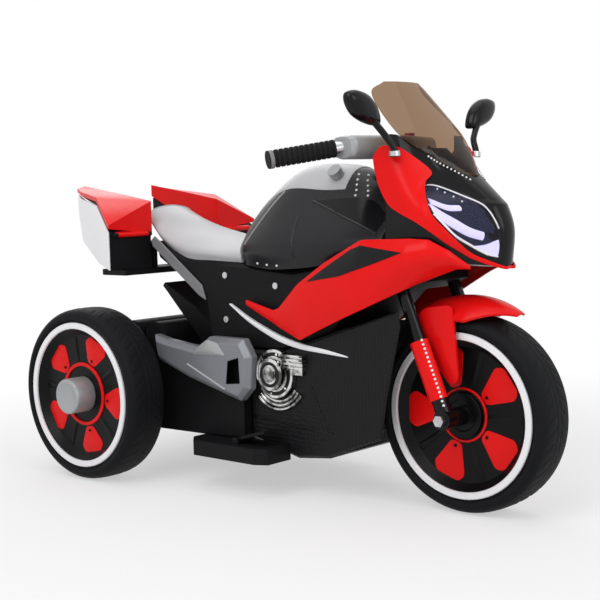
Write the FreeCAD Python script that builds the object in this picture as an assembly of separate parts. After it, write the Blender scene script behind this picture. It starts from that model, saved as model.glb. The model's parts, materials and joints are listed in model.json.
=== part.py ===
import FreeCAD, Part
import math
import os

# Kids electric motorbike with one front wheel and two rear wheels.
# Millimetres and degrees. +X is forward, +Y is left, +Z is up.
# The origin is on the ground, midway between the axles. Every piece is drawn with z = 0 at axle height
# and lifted by the wheel radius when it is saved.

# Wheels
wheel_radius = 165.0
tyre_width = 85.0
tread_width = 46.0
shoulder_drop = 13.0
tyre_height = 23.0
bead_clearance = 0.2
bead_height = 5.0
tyre_wall = 5.0
rim_inset = 4.5
rim_wall = 4.0
ring_margin = 3.0
ring_width = 12.0
web_margin = 28.0
web_depth = 14.0
insert_count = 5
insert_height = 3.0
insert_margin = 3.0
insert_inner_width = 20.0
insert_outer_width = 56.0
insert_corner = 8.0
front_insert_angle = 36.5
rear_insert_angle = 6.0
front_hub_radius = 38.0
front_hub_ring_radius = 46.0
rear_hub_radius = 26.0
rear_hub_ring_radius = 61.0
hub_ring_width = 4.0
hub_rise = 8.0
insert_gap = 6.0
hub_cap_radius = 34.0
hub_cap_reach = 67.0
hub_cap_wall = 4.0

# Axles
wheelbase = 735.4
rear_track = 420.0
axle_radius = 6.0
axle_clearance = 0.05
nut_radius = 10.0
nut_height = 9.0
nut_gap = 0.5

# Steering
rake = 22.0
leg_spacing = 150.0
slider_radius = 14.0
axle_boss_radius = 16.0
axle_boss_step = 1.0
slider_length = 135.0
stanchion_radius = 11.0
yoke_gap = 30.0
yoke_thickness = 18.0
yoke_width = 184.0
yoke_depth = 44.0
stem_radius = 16.0
stem_clearance = 0.05
bush_wall = 3.0
bush_length = 20.0
head_wall = 5.0
head_gap = 1.0
head_length = 150.0
bar_radius = 11.0
bar_height = 467.0
bar_lead = 38.0
bar_half_span = 120.0
bar_sweep = 34.0
grip_length = 118.0
grip_sweep = 60.0
grip_drop = 17.0
grip_radius = 15.0
grip_clearance = 0.1
grip_cap_length = 9.0
cover_depth = 46.0
cover_height = 40.0
cover_wall = 3.0
horn_radius = 9.0
horn_height = 6.0
horn_collar = 2.0
horn_clearance = 0.08
strip_wall = 3.0
strip_start = 34.0
guard_gap = 33.0
guard_wall = 4.0
guard_half_width = 56.0
guard_skirt = 16.0
guard_front_angle = 60.0
guard_rear_angle = 118.0

# Body
wall = 4.0
seam = 0.3
body_half_width = 100.0
belly_half_width = 106.0
body_bevel = 6.0
belly_bevel = 5.0
swing_bevel = 10.0
belly_floor = 92.0
tyre_room = 18.7
guard_room = 40.0
tail_reach = 64.0
saddle_low = 236.0
tank_height = 193.0
tank_seam_share = 0.75
seat_gap = 2.0
cap_radius = 13.0
cap_height = 16.0
boss_radius = 7.0
footrest_width = 72.0
footrest_length = 200.0
footrest_front = 50.0
footrest_top = -72.0
footrest_thickness = 28.0
pedal_length = 70.0
pedal_width = 44.0
pedal_thickness = 6.0
pedal_tilt = 16.0
pedal_pin_radius = 3.0
pedal_lug = 5.0
screw_radius = 6.0
screw_head = 3.0
screw_shank_radius = 2.5
screw_length = 14.0
screw_clearance = 0.1
engine_radius = 44.0
engine_depth = 24.0
engine_fins = 4
swing_depth = 24.7

# Rear drive
housing_room = 42.5
bulge_radius = 28.0
blade_half_width = 58.0
motor_radius = 21.0
motor_share = 0.66
gearbox_length = 96.0
gearbox_height = 92.0
gearbox_width = 34.0
output_radius = 20.0
output_gap = 2.0
battery_width = 65.0
battery_height = 94.0
board_length = 80.0
board_height = 56.0
board_thickness = 14.0
board_low = 140.0
socket_radius = 9.0
socket_flange = 13.0
socket_depth = 24.0
socket_bore = 5.5

# Panniers
pannier_front = 48.0
pannier_wall = 3.0
hinge_radius = 4.5
hinge_pin_radius = 2.0
hinge_clearance = 0.06
knuckle = 8.0
hinge_margin = 6.0
rack_thickness = 12.0

# Mirrors
mirror_half_spacing = 115.0
mirror_arm_radius = 6.0
mirror_pin_radius = 4.0
mirror_pin_length = 14.0
mirror_clearance = 0.06
mirror_foot = 10.0
mirror_seat_margin = 3.0

front_x = wheelbase / 2
rear_x = -wheelbase / 2
rear_y = rear_track / 2
tyre_half = tyre_width / 2
rim_radius = wheel_radius - tyre_height
ring_outer_radius = rim_radius - ring_margin
web_radius = rim_radius - web_margin
insert_outer_radius = web_radius - insert_margin
guard_radius = wheel_radius + guard_gap
yoke_height = guard_radius + yoke_gap
housing_half_width = rear_y - tyre_half - housing_room
rim_half = tyre_half - rim_inset
ring_inner_radius = ring_outer_radius - ring_width
web_face = rim_half - web_depth
leg_y = leg_spacing / 2
leg_face = leg_y + slider_radius + axle_boss_step
tilt = math.radians(rake)
axis_up = FreeCAD.Vector(-math.sin(tilt), 0, math.cos(tilt))
axis_ahead = FreeCAD.Vector(math.cos(tilt), 0, math.sin(tilt))
side_way = FreeCAD.Vector(0, 1, 0)
origin = FreeCAD.Vector(0, 0, 0)


def vec(x, y, z):
    return FreeCAD.Vector(x, y, z)


def along(share):
    """A place along the bike, from thousandths of the wheelbase."""
    return wheelbase * share / 1000


def spread(points):
    """Side-view points (x, z) whose x is given in thousandths of the wheelbase."""
    return [(along(share), z) for share, z in points]


def save(name, *solids):
    """Lift the solids to their height above the ground and write one node."""
    shape = solids[0] if len(solids) == 1 else Part.makeCompound(list(solids))
    lifted = shape.copy()
    lifted.translate(vec(0, 0, wheel_radius))
    lifted.exportStep("parts/%s.step" % name)


def left_of(shape):
    """The left-hand copy of a right-hand piece."""
    return shape.mirror(origin, side_way)


def face(points):
    return Part.Face(Part.makePolygon(points + points[:1]))


def slab(outline, y_from, y_to):
    """Extrude an outline of (x, z) points across the bike."""
    flat = face([vec(x, y_from, z) for x, z in outline])
    return flat.extrude(vec(0, y_to - y_from, 0))


def inset(outline, distance):
    """Move every side of an outline inwards by a distance, keeping its corners."""
    count = len(outline)
    area = sum(outline[i - 1][0] * outline[i][1] - outline[i][0] * outline[i - 1][1] for i in range(count))
    turn = 1 if area > 0 else -1
    moved = []
    for i in range(count):
        (ax, az), (bx, bz), (cx, cz) = outline[i - 1], outline[i], outline[(i + 1) % count]
        before = math.hypot(bx - ax, bz - az)
        after = math.hypot(cx - bx, cz - bz)
        n1 = (-(bz - az) * turn / before, (bx - ax) * turn / before)
        n2 = (-(cz - bz) * turn / after, (cx - bx) * turn / after)
        share = distance / (1 + n1[0] * n2[0] + n1[1] * n2[1])
        moved.append((bx + (n1[0] + n2[0]) * share, bz + (n1[1] + n2[1]) * share))
    return moved


def is_flat(ring):
    """Whether the points of a ring lie in one plane."""
    normal = vec(0, 0, 0)
    for before, after in zip(ring, ring[1:]):
        normal += (before - ring[0]).cross(after - ring[0])
    return all(abs((point - ring[0]).dot(normal)) < 1e-6 * normal.Length for point in ring)


def skin(rings):
    """A closed solid with flat triangles between rings of as many points each."""
    corners = []
    count = len(rings[0])
    for near, far in zip(rings, rings[1:]):
        for i in range(count):
            j = (i + 1) % count
            corners += [[near[i], near[j], far[j]], [near[i], far[j], far[i]]]
    for ring in (rings[0], rings[-1]):
        corners += [ring] if is_flat(ring) else [[ring[0], ring[i], ring[i + 1]] for i in range(1, count - 1)]
    faces = [face(c) for c in corners if len(c) > 3 or (c[1] - c[0]).cross(c[2] - c[0]).Length > 1e-6]
    solid = Part.makeSolid(Part.makeShell(faces))
    if solid.Volume < 0:
        solid.reverse()
    return solid.removeSplitter()


def tray(outline, y_inner, y_outer, thickness, edge):
    """A right-hand half shell: a side wall with a bevelled edge and a rim that runs to y_inner."""
    def block(points, reach):
        flats = [(points, y_inner), (points, reach - edge), (inset(points, edge), reach)]
        return skin([[vec(x, -y, z) for x, z in flat] for flat, y in flats])
    cavity = block(inset(outline, thickness), y_outer - thickness)
    mouth = slab(inset(outline, thickness), -y_inner - 1, -y_inner + 1)
    return block(outline, y_outer).cut(cavity).cut(mouth)


def band(stations, thickness):
    """A right-hand panel from stations of (x, low y, low z, mid y, mid z, high y, high z)."""
    rings = []
    for x, low_y, low_z, mid_y, mid_z, high_y, high_z in stations:
        outer = [(low_y, low_z), (mid_y, mid_z), (high_y, high_z)]
        inner = [(y - thickness, z) for y, z in reversed(outer)]
        rings.append([vec(x, -y, z) for y, z in outer + inner])
    return skin(rings)


def crown(stations, thickness, end_wall):
    """A hollow cover, open below, from stations of x and half-section points from the bottom up."""
    def rings(shrink, ends, drop):
        made = []
        for i, (x, half) in enumerate(stations):
            step = ends if i == 0 else -ends if i == len(stations) - 1 else 0
            points = []
            for k, (y, z) in enumerate(half):
                low = z - drop if k == 0 else z - shrink
                points.append((max(y - shrink, y / 2), low))
            ring = [vec(x + step, -y, z) for y, z in points]
            ring += [vec(x + step, y, z) for y, z in reversed(points)]
            made.append(ring)
        return made
    return skin(rings(0, 0, 0)).cut(skin(rings(thickness, end_wall, thickness)))


def rod(start, end, radius):
    way = end - start
    return Part.makeCylinder(radius, way.Length, start, way)


def across(x, z, y_from, y_to, radius):
    """A round bar across the bike."""
    return rod(vec(x, y_from, z), vec(x, y_to, z), radius)


def turned(profile, x, y, outward):
    """Turn (radius, offset) points about a wheel axle. Offsets run outward from y."""
    points = [vec(x + radius, y + outward * offset, 0) for radius, offset in profile]
    return face(points).revolve(vec(x, y, 0), side_way, 360)


def steer_point(ahead, y, up):
    """A point given ahead of the steering axis, across, and up along it from the front axle."""
    return vec(front_x, y, 0) + axis_ahead * ahead + axis_up * up


def tyre(x, y):
    bead = rim_radius
    shoulder = wheel_radius - shoulder_drop
    half_tread = tread_width / 2
    half = [(bead, rim_half), (bead + bead_height, tyre_half), (shoulder, tyre_half)]
    half += [(wheel_radius - shoulder_drop / 3, (tyre_half + half_tread) / 2), (wheel_radius, half_tread)]
    solid = turned(half + [(r, -w) for r, w in reversed(half)], x, y, 1)
    edge = rim_half - tyre_wall
    hollow = [(bead + tyre_wall, edge), (shoulder - tyre_wall / 2, edge)]
    hollow += [(wheel_radius - tyre_wall, half_tread - tyre_wall / 2)]
    return solid.cut(turned(hollow + [(r, -w) for r, w in reversed(hollow)], x, y, 1))


def front_rim():
    outer_radius = rim_radius - bead_clearance
    bore = axle_radius + axle_clearance
    hub_face = web_face + hub_rise
    half = [(bore, hub_face), (front_hub_radius, hub_face), (front_hub_radius, web_face)]
    half += [(web_radius, web_face), (ring_inner_radius - 1, rim_half), (outer_radius, rim_half)]
    inner = web_face - rim_wall
    hollow = [(axle_radius * 3, inner), (web_radius - 2, inner), (ring_inner_radius - 2, rim_half - rim_wall)]
    hollow += [(outer_radius - rim_wall, rim_half - rim_wall)]
    shape = turned(half + [(r, -w) for r, w in reversed(half)], front_x, 0, 1)
    return shape.cut(turned(hollow + [(r, -w) for r, w in reversed(hollow)], front_x, 0, 1))


def rear_rim(side):
    outer_radius = rim_radius - bead_clearance
    bore = axle_radius + axle_clearance
    inner = web_face - rim_wall
    hub_face = web_face + hub_rise
    profile = [(bore, hub_face), (rear_hub_radius, hub_face), (rear_hub_radius, web_face)]
    profile += [(web_radius, web_face), (ring_inner_radius - 1, rim_half)]
    profile += [(outer_radius, rim_half), (outer_radius, -rim_half)]
    profile += [(outer_radius - rim_wall, -rim_half), (outer_radius - rim_wall, rim_half - rim_wall)]
    profile += [(ring_inner_radius, rim_half - rim_wall), (web_radius + 2, inner), (rear_hub_radius, inner)]
    profile += [(rear_hub_radius, -rim_half), (bore, -rim_half)]
    return turned(profile, rear_x, side * rear_y, side)


def light_ring(x, y, outward):
    low, high = ring_inner_radius, ring_outer_radius
    return turned([(low, rim_half), (high, rim_half), (high, tyre_half), (low, tyre_half)], x, y, outward)


def hub_ring(x, y, outward, radius):
    low = radius - hub_ring_width
    top = web_face + insert_height
    return turned([(low, web_face), (radius, web_face), (radius, top), (low, top)], x, y, outward)


def inserts(x, y, outward, ring_radius, first_angle):
    """Raised teardrop plates between the spokes, the first one turned down from the front."""
    inner_radius = ring_radius + insert_gap
    low, high = insert_inner_width / 2, insert_outer_width / 2
    corners = [(inner_radius, -low), (insert_outer_radius, -high)]
    corners += [(insert_outer_radius, high), (inner_radius, low)]
    base = face([vec(r, outward * web_face, t) for r, t in corners])
    plate = base.extrude(vec(0, outward * insert_height, 0))
    upright = [e for e in plate.Edges if abs(abs(e.tangentAt(e.FirstParameter).y) - 1) < 1e-6]
    reach = insert_outer_radius - inner_radius
    plate = plate.makeFillet(min(insert_corner, low * 0.9, reach * 0.45), upright)
    made = []
    for i in range(insert_count):
        copy = plate.copy()
        copy.rotate(origin, side_way, first_angle + 360 * i / insert_count)
        copy.translate(vec(x, y, 0))
        made.append(copy)
    return made


def hub_cap(side):
    bore = hub_cap_radius - hub_cap_wall
    shelf = hub_cap_reach - hub_cap_wall
    rim = hub_cap_radius - hub_cap_wall
    profile = [(bore, web_face), (hub_cap_radius, web_face), (hub_cap_radius, shelf), (rim, hub_cap_reach)]
    profile += [(0, hub_cap_reach), (0, shelf), (bore, shelf)]
    return turned(profile, rear_x, side * rear_y, side)


def nut(x, y, outward):
    """A hexagon nut on an axle whose inner face is at y."""
    corners = []
    for i in range(6):
        angle = math.radians(60 * i)
        corners.append(vec(x + nut_radius * math.cos(angle), y, nut_radius * math.sin(angle)))
    block = face(corners).extrude(vec(0, outward * nut_height, 0))
    return block.cut(across(x, 0, y - nut_height, y + nut_height, axle_radius + axle_clearance))


def make_wheels():
    save("front_tyre", tyre(front_x, 0))
    save("front_rim", front_rim())
    trim = []
    for side in (-1, 1):
        trim += [light_ring(front_x, 0, side), hub_ring(front_x, 0, side, front_hub_ring_radius)]
        trim += inserts(front_x, 0, side, front_hub_ring_radius, front_insert_angle)
    save("front_wheel_trim", *trim)
    for side, word in ((-1, "right"), (1, "left")):
        y = side * rear_y
        save("rear_tyre_%s" % word, tyre(rear_x, y))
        save("rear_rim_%s" % word, rear_rim(side))
        trim = [light_ring(rear_x, y, side), hub_ring(rear_x, y, side, rear_hub_ring_radius), hub_cap(side)]
        trim += inserts(rear_x, y, side, rear_hub_ring_radius, rear_insert_angle)
        save("rear_wheel_trim_%s" % word, *trim)


def fork_leg():
    """The right-hand leg: slider, stanchion and the boss that holds the axle."""
    leg = rod(steer_point(0, -leg_y, 0), steer_point(0, -leg_y, slider_length), slider_radius)
    stanchion_foot = steer_point(0, -leg_y, slider_length)
    leg = leg.fuse(rod(stanchion_foot, steer_point(0, -leg_y, yoke_height), stanchion_radius))
    boss_start = web_face + hub_rise + nut_gap
    boss = across(front_x, 0, -boss_start, -leg_face, axle_boss_radius)
    bore = across(front_x, 0, -leg_y * 2, 0, axle_radius + axle_clearance)
    return leg.fuse(boss).cut(bore).removeSplitter()


def fork_strip():
    """Half-round cover on the outer side of a slider."""
    bottom, top = steer_point(0, -leg_y, strip_start), steer_point(0, -leg_y, slider_length)
    sleeve = rod(bottom, top, slider_radius + seam + strip_wall).cut(rod(bottom, top, slider_radius + seam))
    keep = Part.makeBox(wheelbase, leg_spacing, wheelbase, vec(0, -leg_y - leg_spacing, -wheelbase / 2))
    return sleeve.common(keep)


def steering_stem():
    """Stem tube, bottom yoke and the arm that carries the handlebar."""
    half, reach = yoke_depth / 2, yoke_width / 2
    corners = [(-half, -reach), (half, -reach), (half, reach), (-half, reach)]
    plate = face([steer_point(a, y, yoke_height) for a, y in corners]).extrude(axis_up * yoke_thickness)
    stem = rod(steer_point(0, 0, yoke_height), steer_point(0, 0, bar_height + bar_radius), stem_radius)
    clamp = rod(steer_point(0, 0, bar_height), steer_point(bar_lead, 0, bar_height), stem_radius)
    bore = handlebar_path(bar_radius + seam)
    return plate.fuse(stem).fuse(clamp).cut(bore).removeSplitter()


def bar_points():
    """Middle, bend and end of the right half of the handlebar."""
    middle = steer_point(bar_lead, 0, bar_height)
    bend = middle + vec(-bar_sweep, -bar_half_span, 0)
    end = bend + vec(-grip_sweep, -math.sqrt(grip_length ** 2 - grip_sweep ** 2 - grip_drop ** 2), -grip_drop)
    return middle, bend, end


def handlebar_path(radius):
    middle, bend, end = bar_points()
    half = rod(middle, bend, radius).fuse(rod(bend, end, radius)).fuse(Part.makeSphere(radius, bend))
    return half.fuse(left_of(half)).fuse(Part.makeSphere(radius, middle)).removeSplitter()


def grip():
    """Right-hand grip with its ribs, and the cap at its end."""
    middle, bend, end = bar_points()
    way = (end - bend).normalize()
    start = bend + way * bar_radius
    body = rod(start, end, grip_radius - 2)
    ribs = 12
    pitch = (end - start).Length / ribs
    for i in range(ribs):
        rib_start = start + way * (pitch * i)
        body = body.fuse(rod(rib_start, rib_start + way * (pitch / 2), grip_radius))
    body = body.cut(handlebar_path(bar_radius + grip_clearance))
    cap = rod(end + way * seam, end + way * (seam + grip_cap_length), grip_radius)
    return body, cap


def cover_ring(point, shrink):
    half_x, half_z = cover_depth / 2 - shrink, cover_height / 2 - shrink
    corners = [(-half_x, -half_z), (half_x, -half_z), (half_x, half_z / 2)]
    corners += [(half_x / 2, half_z), (-half_x, half_z)]
    return [point + vec(x, 0, z) for x, z in corners]


def handlebar_cover():
    """Two-part shell around the middle of the handlebar, with a hole for the horn button."""
    middle, bend, end = bar_points()
    ends = [bend, middle, vec(bend.x, -bend.y, bend.z)]
    cut_back = [vec(0, cover_wall, 0), vec(0, 0, 0), vec(0, -cover_wall, 0)]
    outer = skin([cover_ring(point, 0) for point in ends])
    inner = skin([cover_ring(point + shift, cover_wall) for point, shift in zip(ends, cut_back)])
    room = stem_radius + seam
    stem_way = rod(steer_point(0, 0, yoke_height), steer_point(0, 0, bar_height + cover_height), room)
    arm_way = rod(steer_point(0, 0, bar_height), steer_point(bar_lead, 0, bar_height), room)
    shell = outer.cut(inner).cut(stem_way).cut(arm_way).cut(handlebar_path(bar_radius + seam))
    return shell.cut(horn_button(horn_clearance)).removeSplitter()


def horn_button(clearance):
    """Round button in the top of the cover, on the left-hand side, held by a collar under the wall."""
    middle, bend, end = bar_points()
    back = (bend.x - middle.x) / 2 - cover_depth / 6
    ceiling = middle + vec(back, -bend.y / 2, cover_height / 2 - cover_wall)
    base = ceiling - vec(0, 0, horn_collar + seam)
    button = Part.makeCylinder(horn_radius + clearance, horn_collar + seam + cover_wall + horn_height, base)
    if clearance:
        return button
    return button.fuse(Part.makeCylinder(horn_radius + cover_wall, horn_collar, base))


def front_mudguard():
    """Arched guard over the tyre, pointed in front, with a side panel down each fork leg."""
    inner = guard_radius - guard_wall
    half = guard_half_width
    skirt = guard_radius - guard_skirt
    section = [(skirt, half), (guard_radius - guard_wall * 2, half), (guard_radius, half * 0.6)]
    under = [(inner, half * 0.6 - guard_wall / 2), (inner - guard_wall * 2, half - guard_wall)]
    under += [(skirt, half - guard_wall)]
    right = section + [(r, -w) for r, w in reversed(section)]
    below = under + [(r, -w) for r, w in reversed(under)]
    sweep = guard_rear_angle - guard_front_angle
    def arch(points):
        flat = face([vec(r, w, 0) for r, w in points])
        flat.rotate(origin, side_way, -guard_front_angle)
        return flat.revolve(origin, side_way, -sweep)
    guard = arch(right).cut(arch(below))
    tip = guard_radius * math.cos(math.radians(guard_front_angle))
    shave = [(tip * 0.25, half + 1), (tip + 2, half * 0.2), (tip + half, half * 0.2), (tip + half, half + 1)]
    for side in (-1, 1):
        wedge = face([vec(x, side * y, 0) for x, y in shave])
        guard = guard.cut(wedge.extrude(vec(0, 0, guard_radius)))
    outer_face = leg_y - slider_radius - seam
    outline = [(-74, 150), (-58, 178), (0, skirt + 6), (6, 138), (12, 62), (-4, 52), (-26, 84), (-60, 132)]
    panel = slab(outline, -half + guard_wall, -outer_face)
    guard.translate(vec(front_x, 0, 0))
    panel.translate(vec(front_x, 0, 0))
    return guard.fuse(panel).fuse(left_of(panel)).removeSplitter()


def make_steering():
    save("steering_stem", steering_stem())
    leg = fork_leg()
    save("fork_leg_right", leg)
    save("fork_leg_left", left_of(leg))
    strip = fork_strip()
    save("fork_strips", strip, left_of(strip))
    save("front_mudguard", front_mudguard())
    reach = leg_face + nut_height
    axle = across(front_x, 0, -reach, reach, axle_radius)
    save("front_axle", axle, nut(front_x, -leg_face - seam, -1), nut(front_x, leg_face + seam, 1))
    save("handlebar", handlebar_path(bar_radius))
    save("handlebar_cover", handlebar_cover())
    body, cap = grip()
    save("grip_right", body, cap)
    save("grip_left", left_of(body), left_of(cap))
    save("horn_button", horn_button(0))


# Side outline of the body, tail first along the top, then back along the bottom
head_bottom = yoke_height + yoke_thickness + head_gap
head_foot = steer_point(0, 0, head_bottom)
body_top = [(rear_x + tail_reach, 288)]
body_top += spread([(-292, 256), (-116, 248), (82, saddle_low), (258, 258)])
body_top += [(head_foot.x - 4, 276)]
body_bottom = [(head_foot.x - 18, guard_radius + guard_room)]
body_bottom += spread([(190, 132), (41, belly_floor), (-204, belly_floor), (-222, 182)])
body_outline = body_top + body_bottom + [(rear_x + tail_reach + 12, 256)]


def on_body(x):
    """The height just above the body's top edge, where the seat and the tank rest."""
    for (ax, az), (bx, bz) in zip(body_top, body_top[1:]):
        if ax <= x <= bx:
            return az + (bz - az) * (x - ax) / (bx - ax) + seam
    return body_top[-1][1] + seam


def head_tube(radius):
    return rod(head_foot, steer_point(0, 0, head_bottom + head_length), radius)


def body_shell():
    """Right half of the body, with half of the head tube moulded in."""
    bore = stem_radius + stem_clearance + bush_wall
    shell = tray(body_outline, 0, body_half_width, wall, body_bevel)
    corner = vec(-wheelbase, -rear_track, -wheelbase)
    right_half = Part.makeBox(wheelbase * 2, rear_track, wheelbase * 2, corner)
    tube = head_tube(bore + head_wall).common(right_half)
    rib_x = head_foot.x - 60
    rib_outline = [(rib_x, 268), (rib_x + wall, 268), (rib_x + wall, 150), (rib_x, 150)]
    rib = slab(rib_outline, -body_half_width + wall / 2, 0)
    inside = slab(inset(body_outline, wall / 2), -body_half_width, 0)
    shell = shell.fuse(tube).fuse(rib.common(inside)).cut(head_tube(bore))
    for x, z in screw_spots:
        inner = -body_half_width + wall + 1
        shell = shell.cut(across(x, z, -body_half_width - 1, inner, screw_shank_radius + screw_clearance))
    return shell.removeSplitter()


screw_spots = spread([(-145, 144), (-145, 226), (27, 210), (204, 232)])


def body_screw(x, z):
    head = across(x, z, -body_half_width - screw_head, -body_half_width, screw_radius)
    return head.fuse(across(x, z, -body_half_width, -body_half_width + screw_length, screw_shank_radius))


def bush(start):
    """A plain bush in the head tube, from a height along the steering axis."""
    inner = stem_radius + stem_clearance
    low, high = steer_point(0, 0, start), steer_point(0, 0, start + bush_length)
    return rod(low, high, inner + bush_wall - bead_clearance).cut(rod(low, high, inner))


belly_rear = along(-61)
cheek_start = front_x - wheel_radius - tyre_room
belly_top = [(belly_rear, belly_floor - seam), (along(41), belly_floor - seam), (along(204), 132)]
belly_top += [(front_x - 72, 178), (front_x - 68, 150)]
belly_front = [(front_x - 98, 30), (front_x - 112, -44)]
belly_front += spread([(190, -88), (90, -96)]) + [(belly_rear, -70)]


def belly_fairing():
    """Right half of the belly, with a cheek that runs forward beside the front wheel."""
    outline = belly_top + belly_front
    shell = tray(outline, 0, belly_half_width, wall, belly_bevel)
    cheek_inside = belly_half_width - wall + 0.5
    room = Part.makeBox(wheelbase, cheek_inside, wheelbase, vec(cheek_start, -cheek_inside, -wheelbase / 2))
    plate_outline = [(cheek_start - wall, -wheelbase), (cheek_start, -wheelbase)]
    plate_outline += [(cheek_start, wheelbase), (cheek_start - wall, wheelbase)]
    wall_plate = slab(plate_outline, -belly_half_width + wall / 2, 0)
    inside = slab(inset(outline, wall / 2), -belly_half_width, 0)
    return shell.cut(room).fuse(wall_plate.common(inside)).cut(body_room()).removeSplitter()


def body_room():
    """The space of the body with a seam around it, which the belly stays out of."""
    return slab(inset(body_outline, -seam), -body_half_width - seam, body_half_width + seam)


def footrest():
    """Right-hand foot board, hollow below."""
    inner, outer = belly_half_width + seam, belly_half_width + footrest_width
    rear, front = footrest_front - footrest_length, footrest_front
    corner = footrest_width / 3
    plan = [(rear, inner), (front, inner), (front, outer - corner / 2), (front - corner, outer)]
    plan += [(rear + corner, outer), (rear, outer - corner)]
    top = face([vec(x, -y, footrest_top) for x, y in plan]).extrude(vec(0, 0, -footrest_thickness))
    hollow = face([vec(x, -y, footrest_top - wall) for x, y in inset(plan, wall)])
    return top.cut(hollow.extrude(vec(0, 0, -footrest_thickness))).removeSplitter()


pedal_rear = footrest_front - pedal_length - 12
pedal_y = belly_half_width + seam + footrest_width / 2
pedal_axis_z = footrest_top + pedal_pin_radius + 3


def pedal_lugs():
    """Two lugs on the right foot board with the pin between them."""
    half = pedal_width / 2
    made = across(pedal_rear, pedal_axis_z, -pedal_y - half, -pedal_y + half, pedal_pin_radius)
    reach = pedal_pin_radius + 3
    for side in (-1, 1):
        inner = -pedal_y + side * (half - pedal_lug)
        outline = [(pedal_rear - reach, footrest_top), (pedal_rear + reach, footrest_top)]
        outline += [(pedal_rear + reach, pedal_axis_z + reach), (pedal_rear - reach, pedal_axis_z + reach)]
        made = made.fuse(slab(outline, inner, inner + side * pedal_lug))
    return made


def accelerator_pedal():
    """Foot pedal on its pin, tilted up at rest."""
    half = pedal_width / 2 - pedal_lug - seam
    knuckle_radius = pedal_pin_radius + 2.5
    top = knuckle_radius
    low = top - pedal_thickness
    outline = [(0, low), (pedal_length, low), (pedal_length, top), (0, top)]
    plate = slab(outline, -half, half).fuse(across(0, 0, -half, half, knuckle_radius))
    plate = plate.cut(across(0, 0, -half, half, pedal_pin_radius + hinge_clearance)).removeSplitter()
    plate.rotate(origin, side_way, -pedal_tilt)
    plate.translate(vec(pedal_rear, -pedal_y, pedal_axis_z))
    return plate


seat_front = along(-105)
seat_stations = [(rear_x + 4, [(58, 334), (60, 346), (46, 362), (14, 367)])]
for x, low_y, upper in (
    (along(-394), 82, [(86, 306), (58, 327), (18, 333)]),
    (along(-292), 94, [(98, 276), (62, 297), (20, 303)]),
    (along(-190), 94, [(99, 268), (64, 281), (22, 286)]),
    (seat_front, 94, [(97, 264), (62, 275), (22, 279)]),
):
    seat_stations.append((x, [(low_y, on_body(x))] + upper))

# The tank rises from the saddle. Its heights are shares of the tank height above the lowest body edge.
tank_rear = seat_front + seat_gap
tank_stations = []
for x, low_y, upper in (
    (tank_rear, 84, [(92, 0.2), (72, 0.31), (24, 0.35)]),
    (along(-61), 102, [(110, 0.25), (70, 0.55), (25, 0.64)]),
    (along(27), 110, [(120, 0.27), (72, 0.715), (26, 0.93)]),
    (along(150), 112, [(122, 0.28), (70, 0.7), (26, 0.96)]),
    (along(253), 108, [(116, 0.3), (60, 0.69), (22, 0.86)]),
    (front_x - 104, 98, [(102, 0.31), (48, 0.51), (16, 0.57)]),
):
    rising = [(y, saddle_low + tank_height * share) for y, share in upper]
    tank_stations.append((x, [(low_y, on_body(x))] + rising))
tank_seam = saddle_low + tank_height * tank_seam_share


def tank():
    """Tank cover and its separate top, cut clear of the head tube."""
    shell = crown(tank_stations, wall, wall)
    column_room = stem_radius + bush_wall + head_wall + 4
    shell = shell.cut(rod(steer_point(0, 0, yoke_height), steer_point(0, 0, bar_height * 2), column_room))
    halves = []
    for bottom in (tank_seam - wheelbase, tank_seam + seam):
        corner = vec(-wheelbase, -rear_track / 2, bottom)
        half = shell.common(Part.makeBox(wheelbase * 2, rear_track, wheelbase, corner))
        halves.append(half.removeSplitter())
    return halves


def tank_cap():
    """Filler cap on the right-hand slope of the tank top."""
    (low_y, low_z), (high_y, high_z) = tank_stations[3][1][2:]
    x = tank_stations[3][0] + cap_radius
    slope = vec(0, -(high_z - low_z), low_y - high_y).normalize()
    share = 0.62
    spot = vec(x, -(low_y + (high_y - low_y) * share), low_z + (high_z - low_z) * share)
    start = spot + slope * 0.2
    neck = rod(start, start + slope * cap_height * 0.6, cap_radius * 0.85)
    knob = rod(start + slope * cap_height * 0.4, start + slope * cap_height, cap_radius)
    return neck.fuse(knob).removeSplitter()


def subframe_rail():
    """Right-hand rail from the tail down to the swingarm."""
    outline = [(rear_x + 62, 290), (rear_x + 72, 298)]
    outline += spread([(-228, 206), (-215, 178), (-239, 186)]) + [(rear_x + 66, 278)]
    return slab(outline, -body_half_width - wall - seam, -body_half_width - seam)


fairing_stations = [
    (along(-60), 112, 174, 113, 178, 112, 183),
    (along(38), 118, 145, 121, 156, 119, 168),
    (along(60), 120, 138, 124, 155, 121, 173),
    (along(128), 124, 119, 132, 170, 127, 216),
    (along(215), 128, 146, 138, 205, 128, 255),
    (along(321), 128, 178, 140, 240, 124, 294),
    (front_x - 40, 122, 215, 130, 264, 116, 296),
    (front_x - 8, 110, 228, 115, 262, 108, 294),
    (front_x + 22, 94, 240, 96, 258, 93, 276),
    (front_x + 42, 64, 243, 65, 246, 64, 250),
]
window_outline = spread([(163, 222), (296, 278), (324, 285)]) + [(front_x - 44, 274)]
window_outline += spread([(375, 257), (272, 234)])


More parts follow.
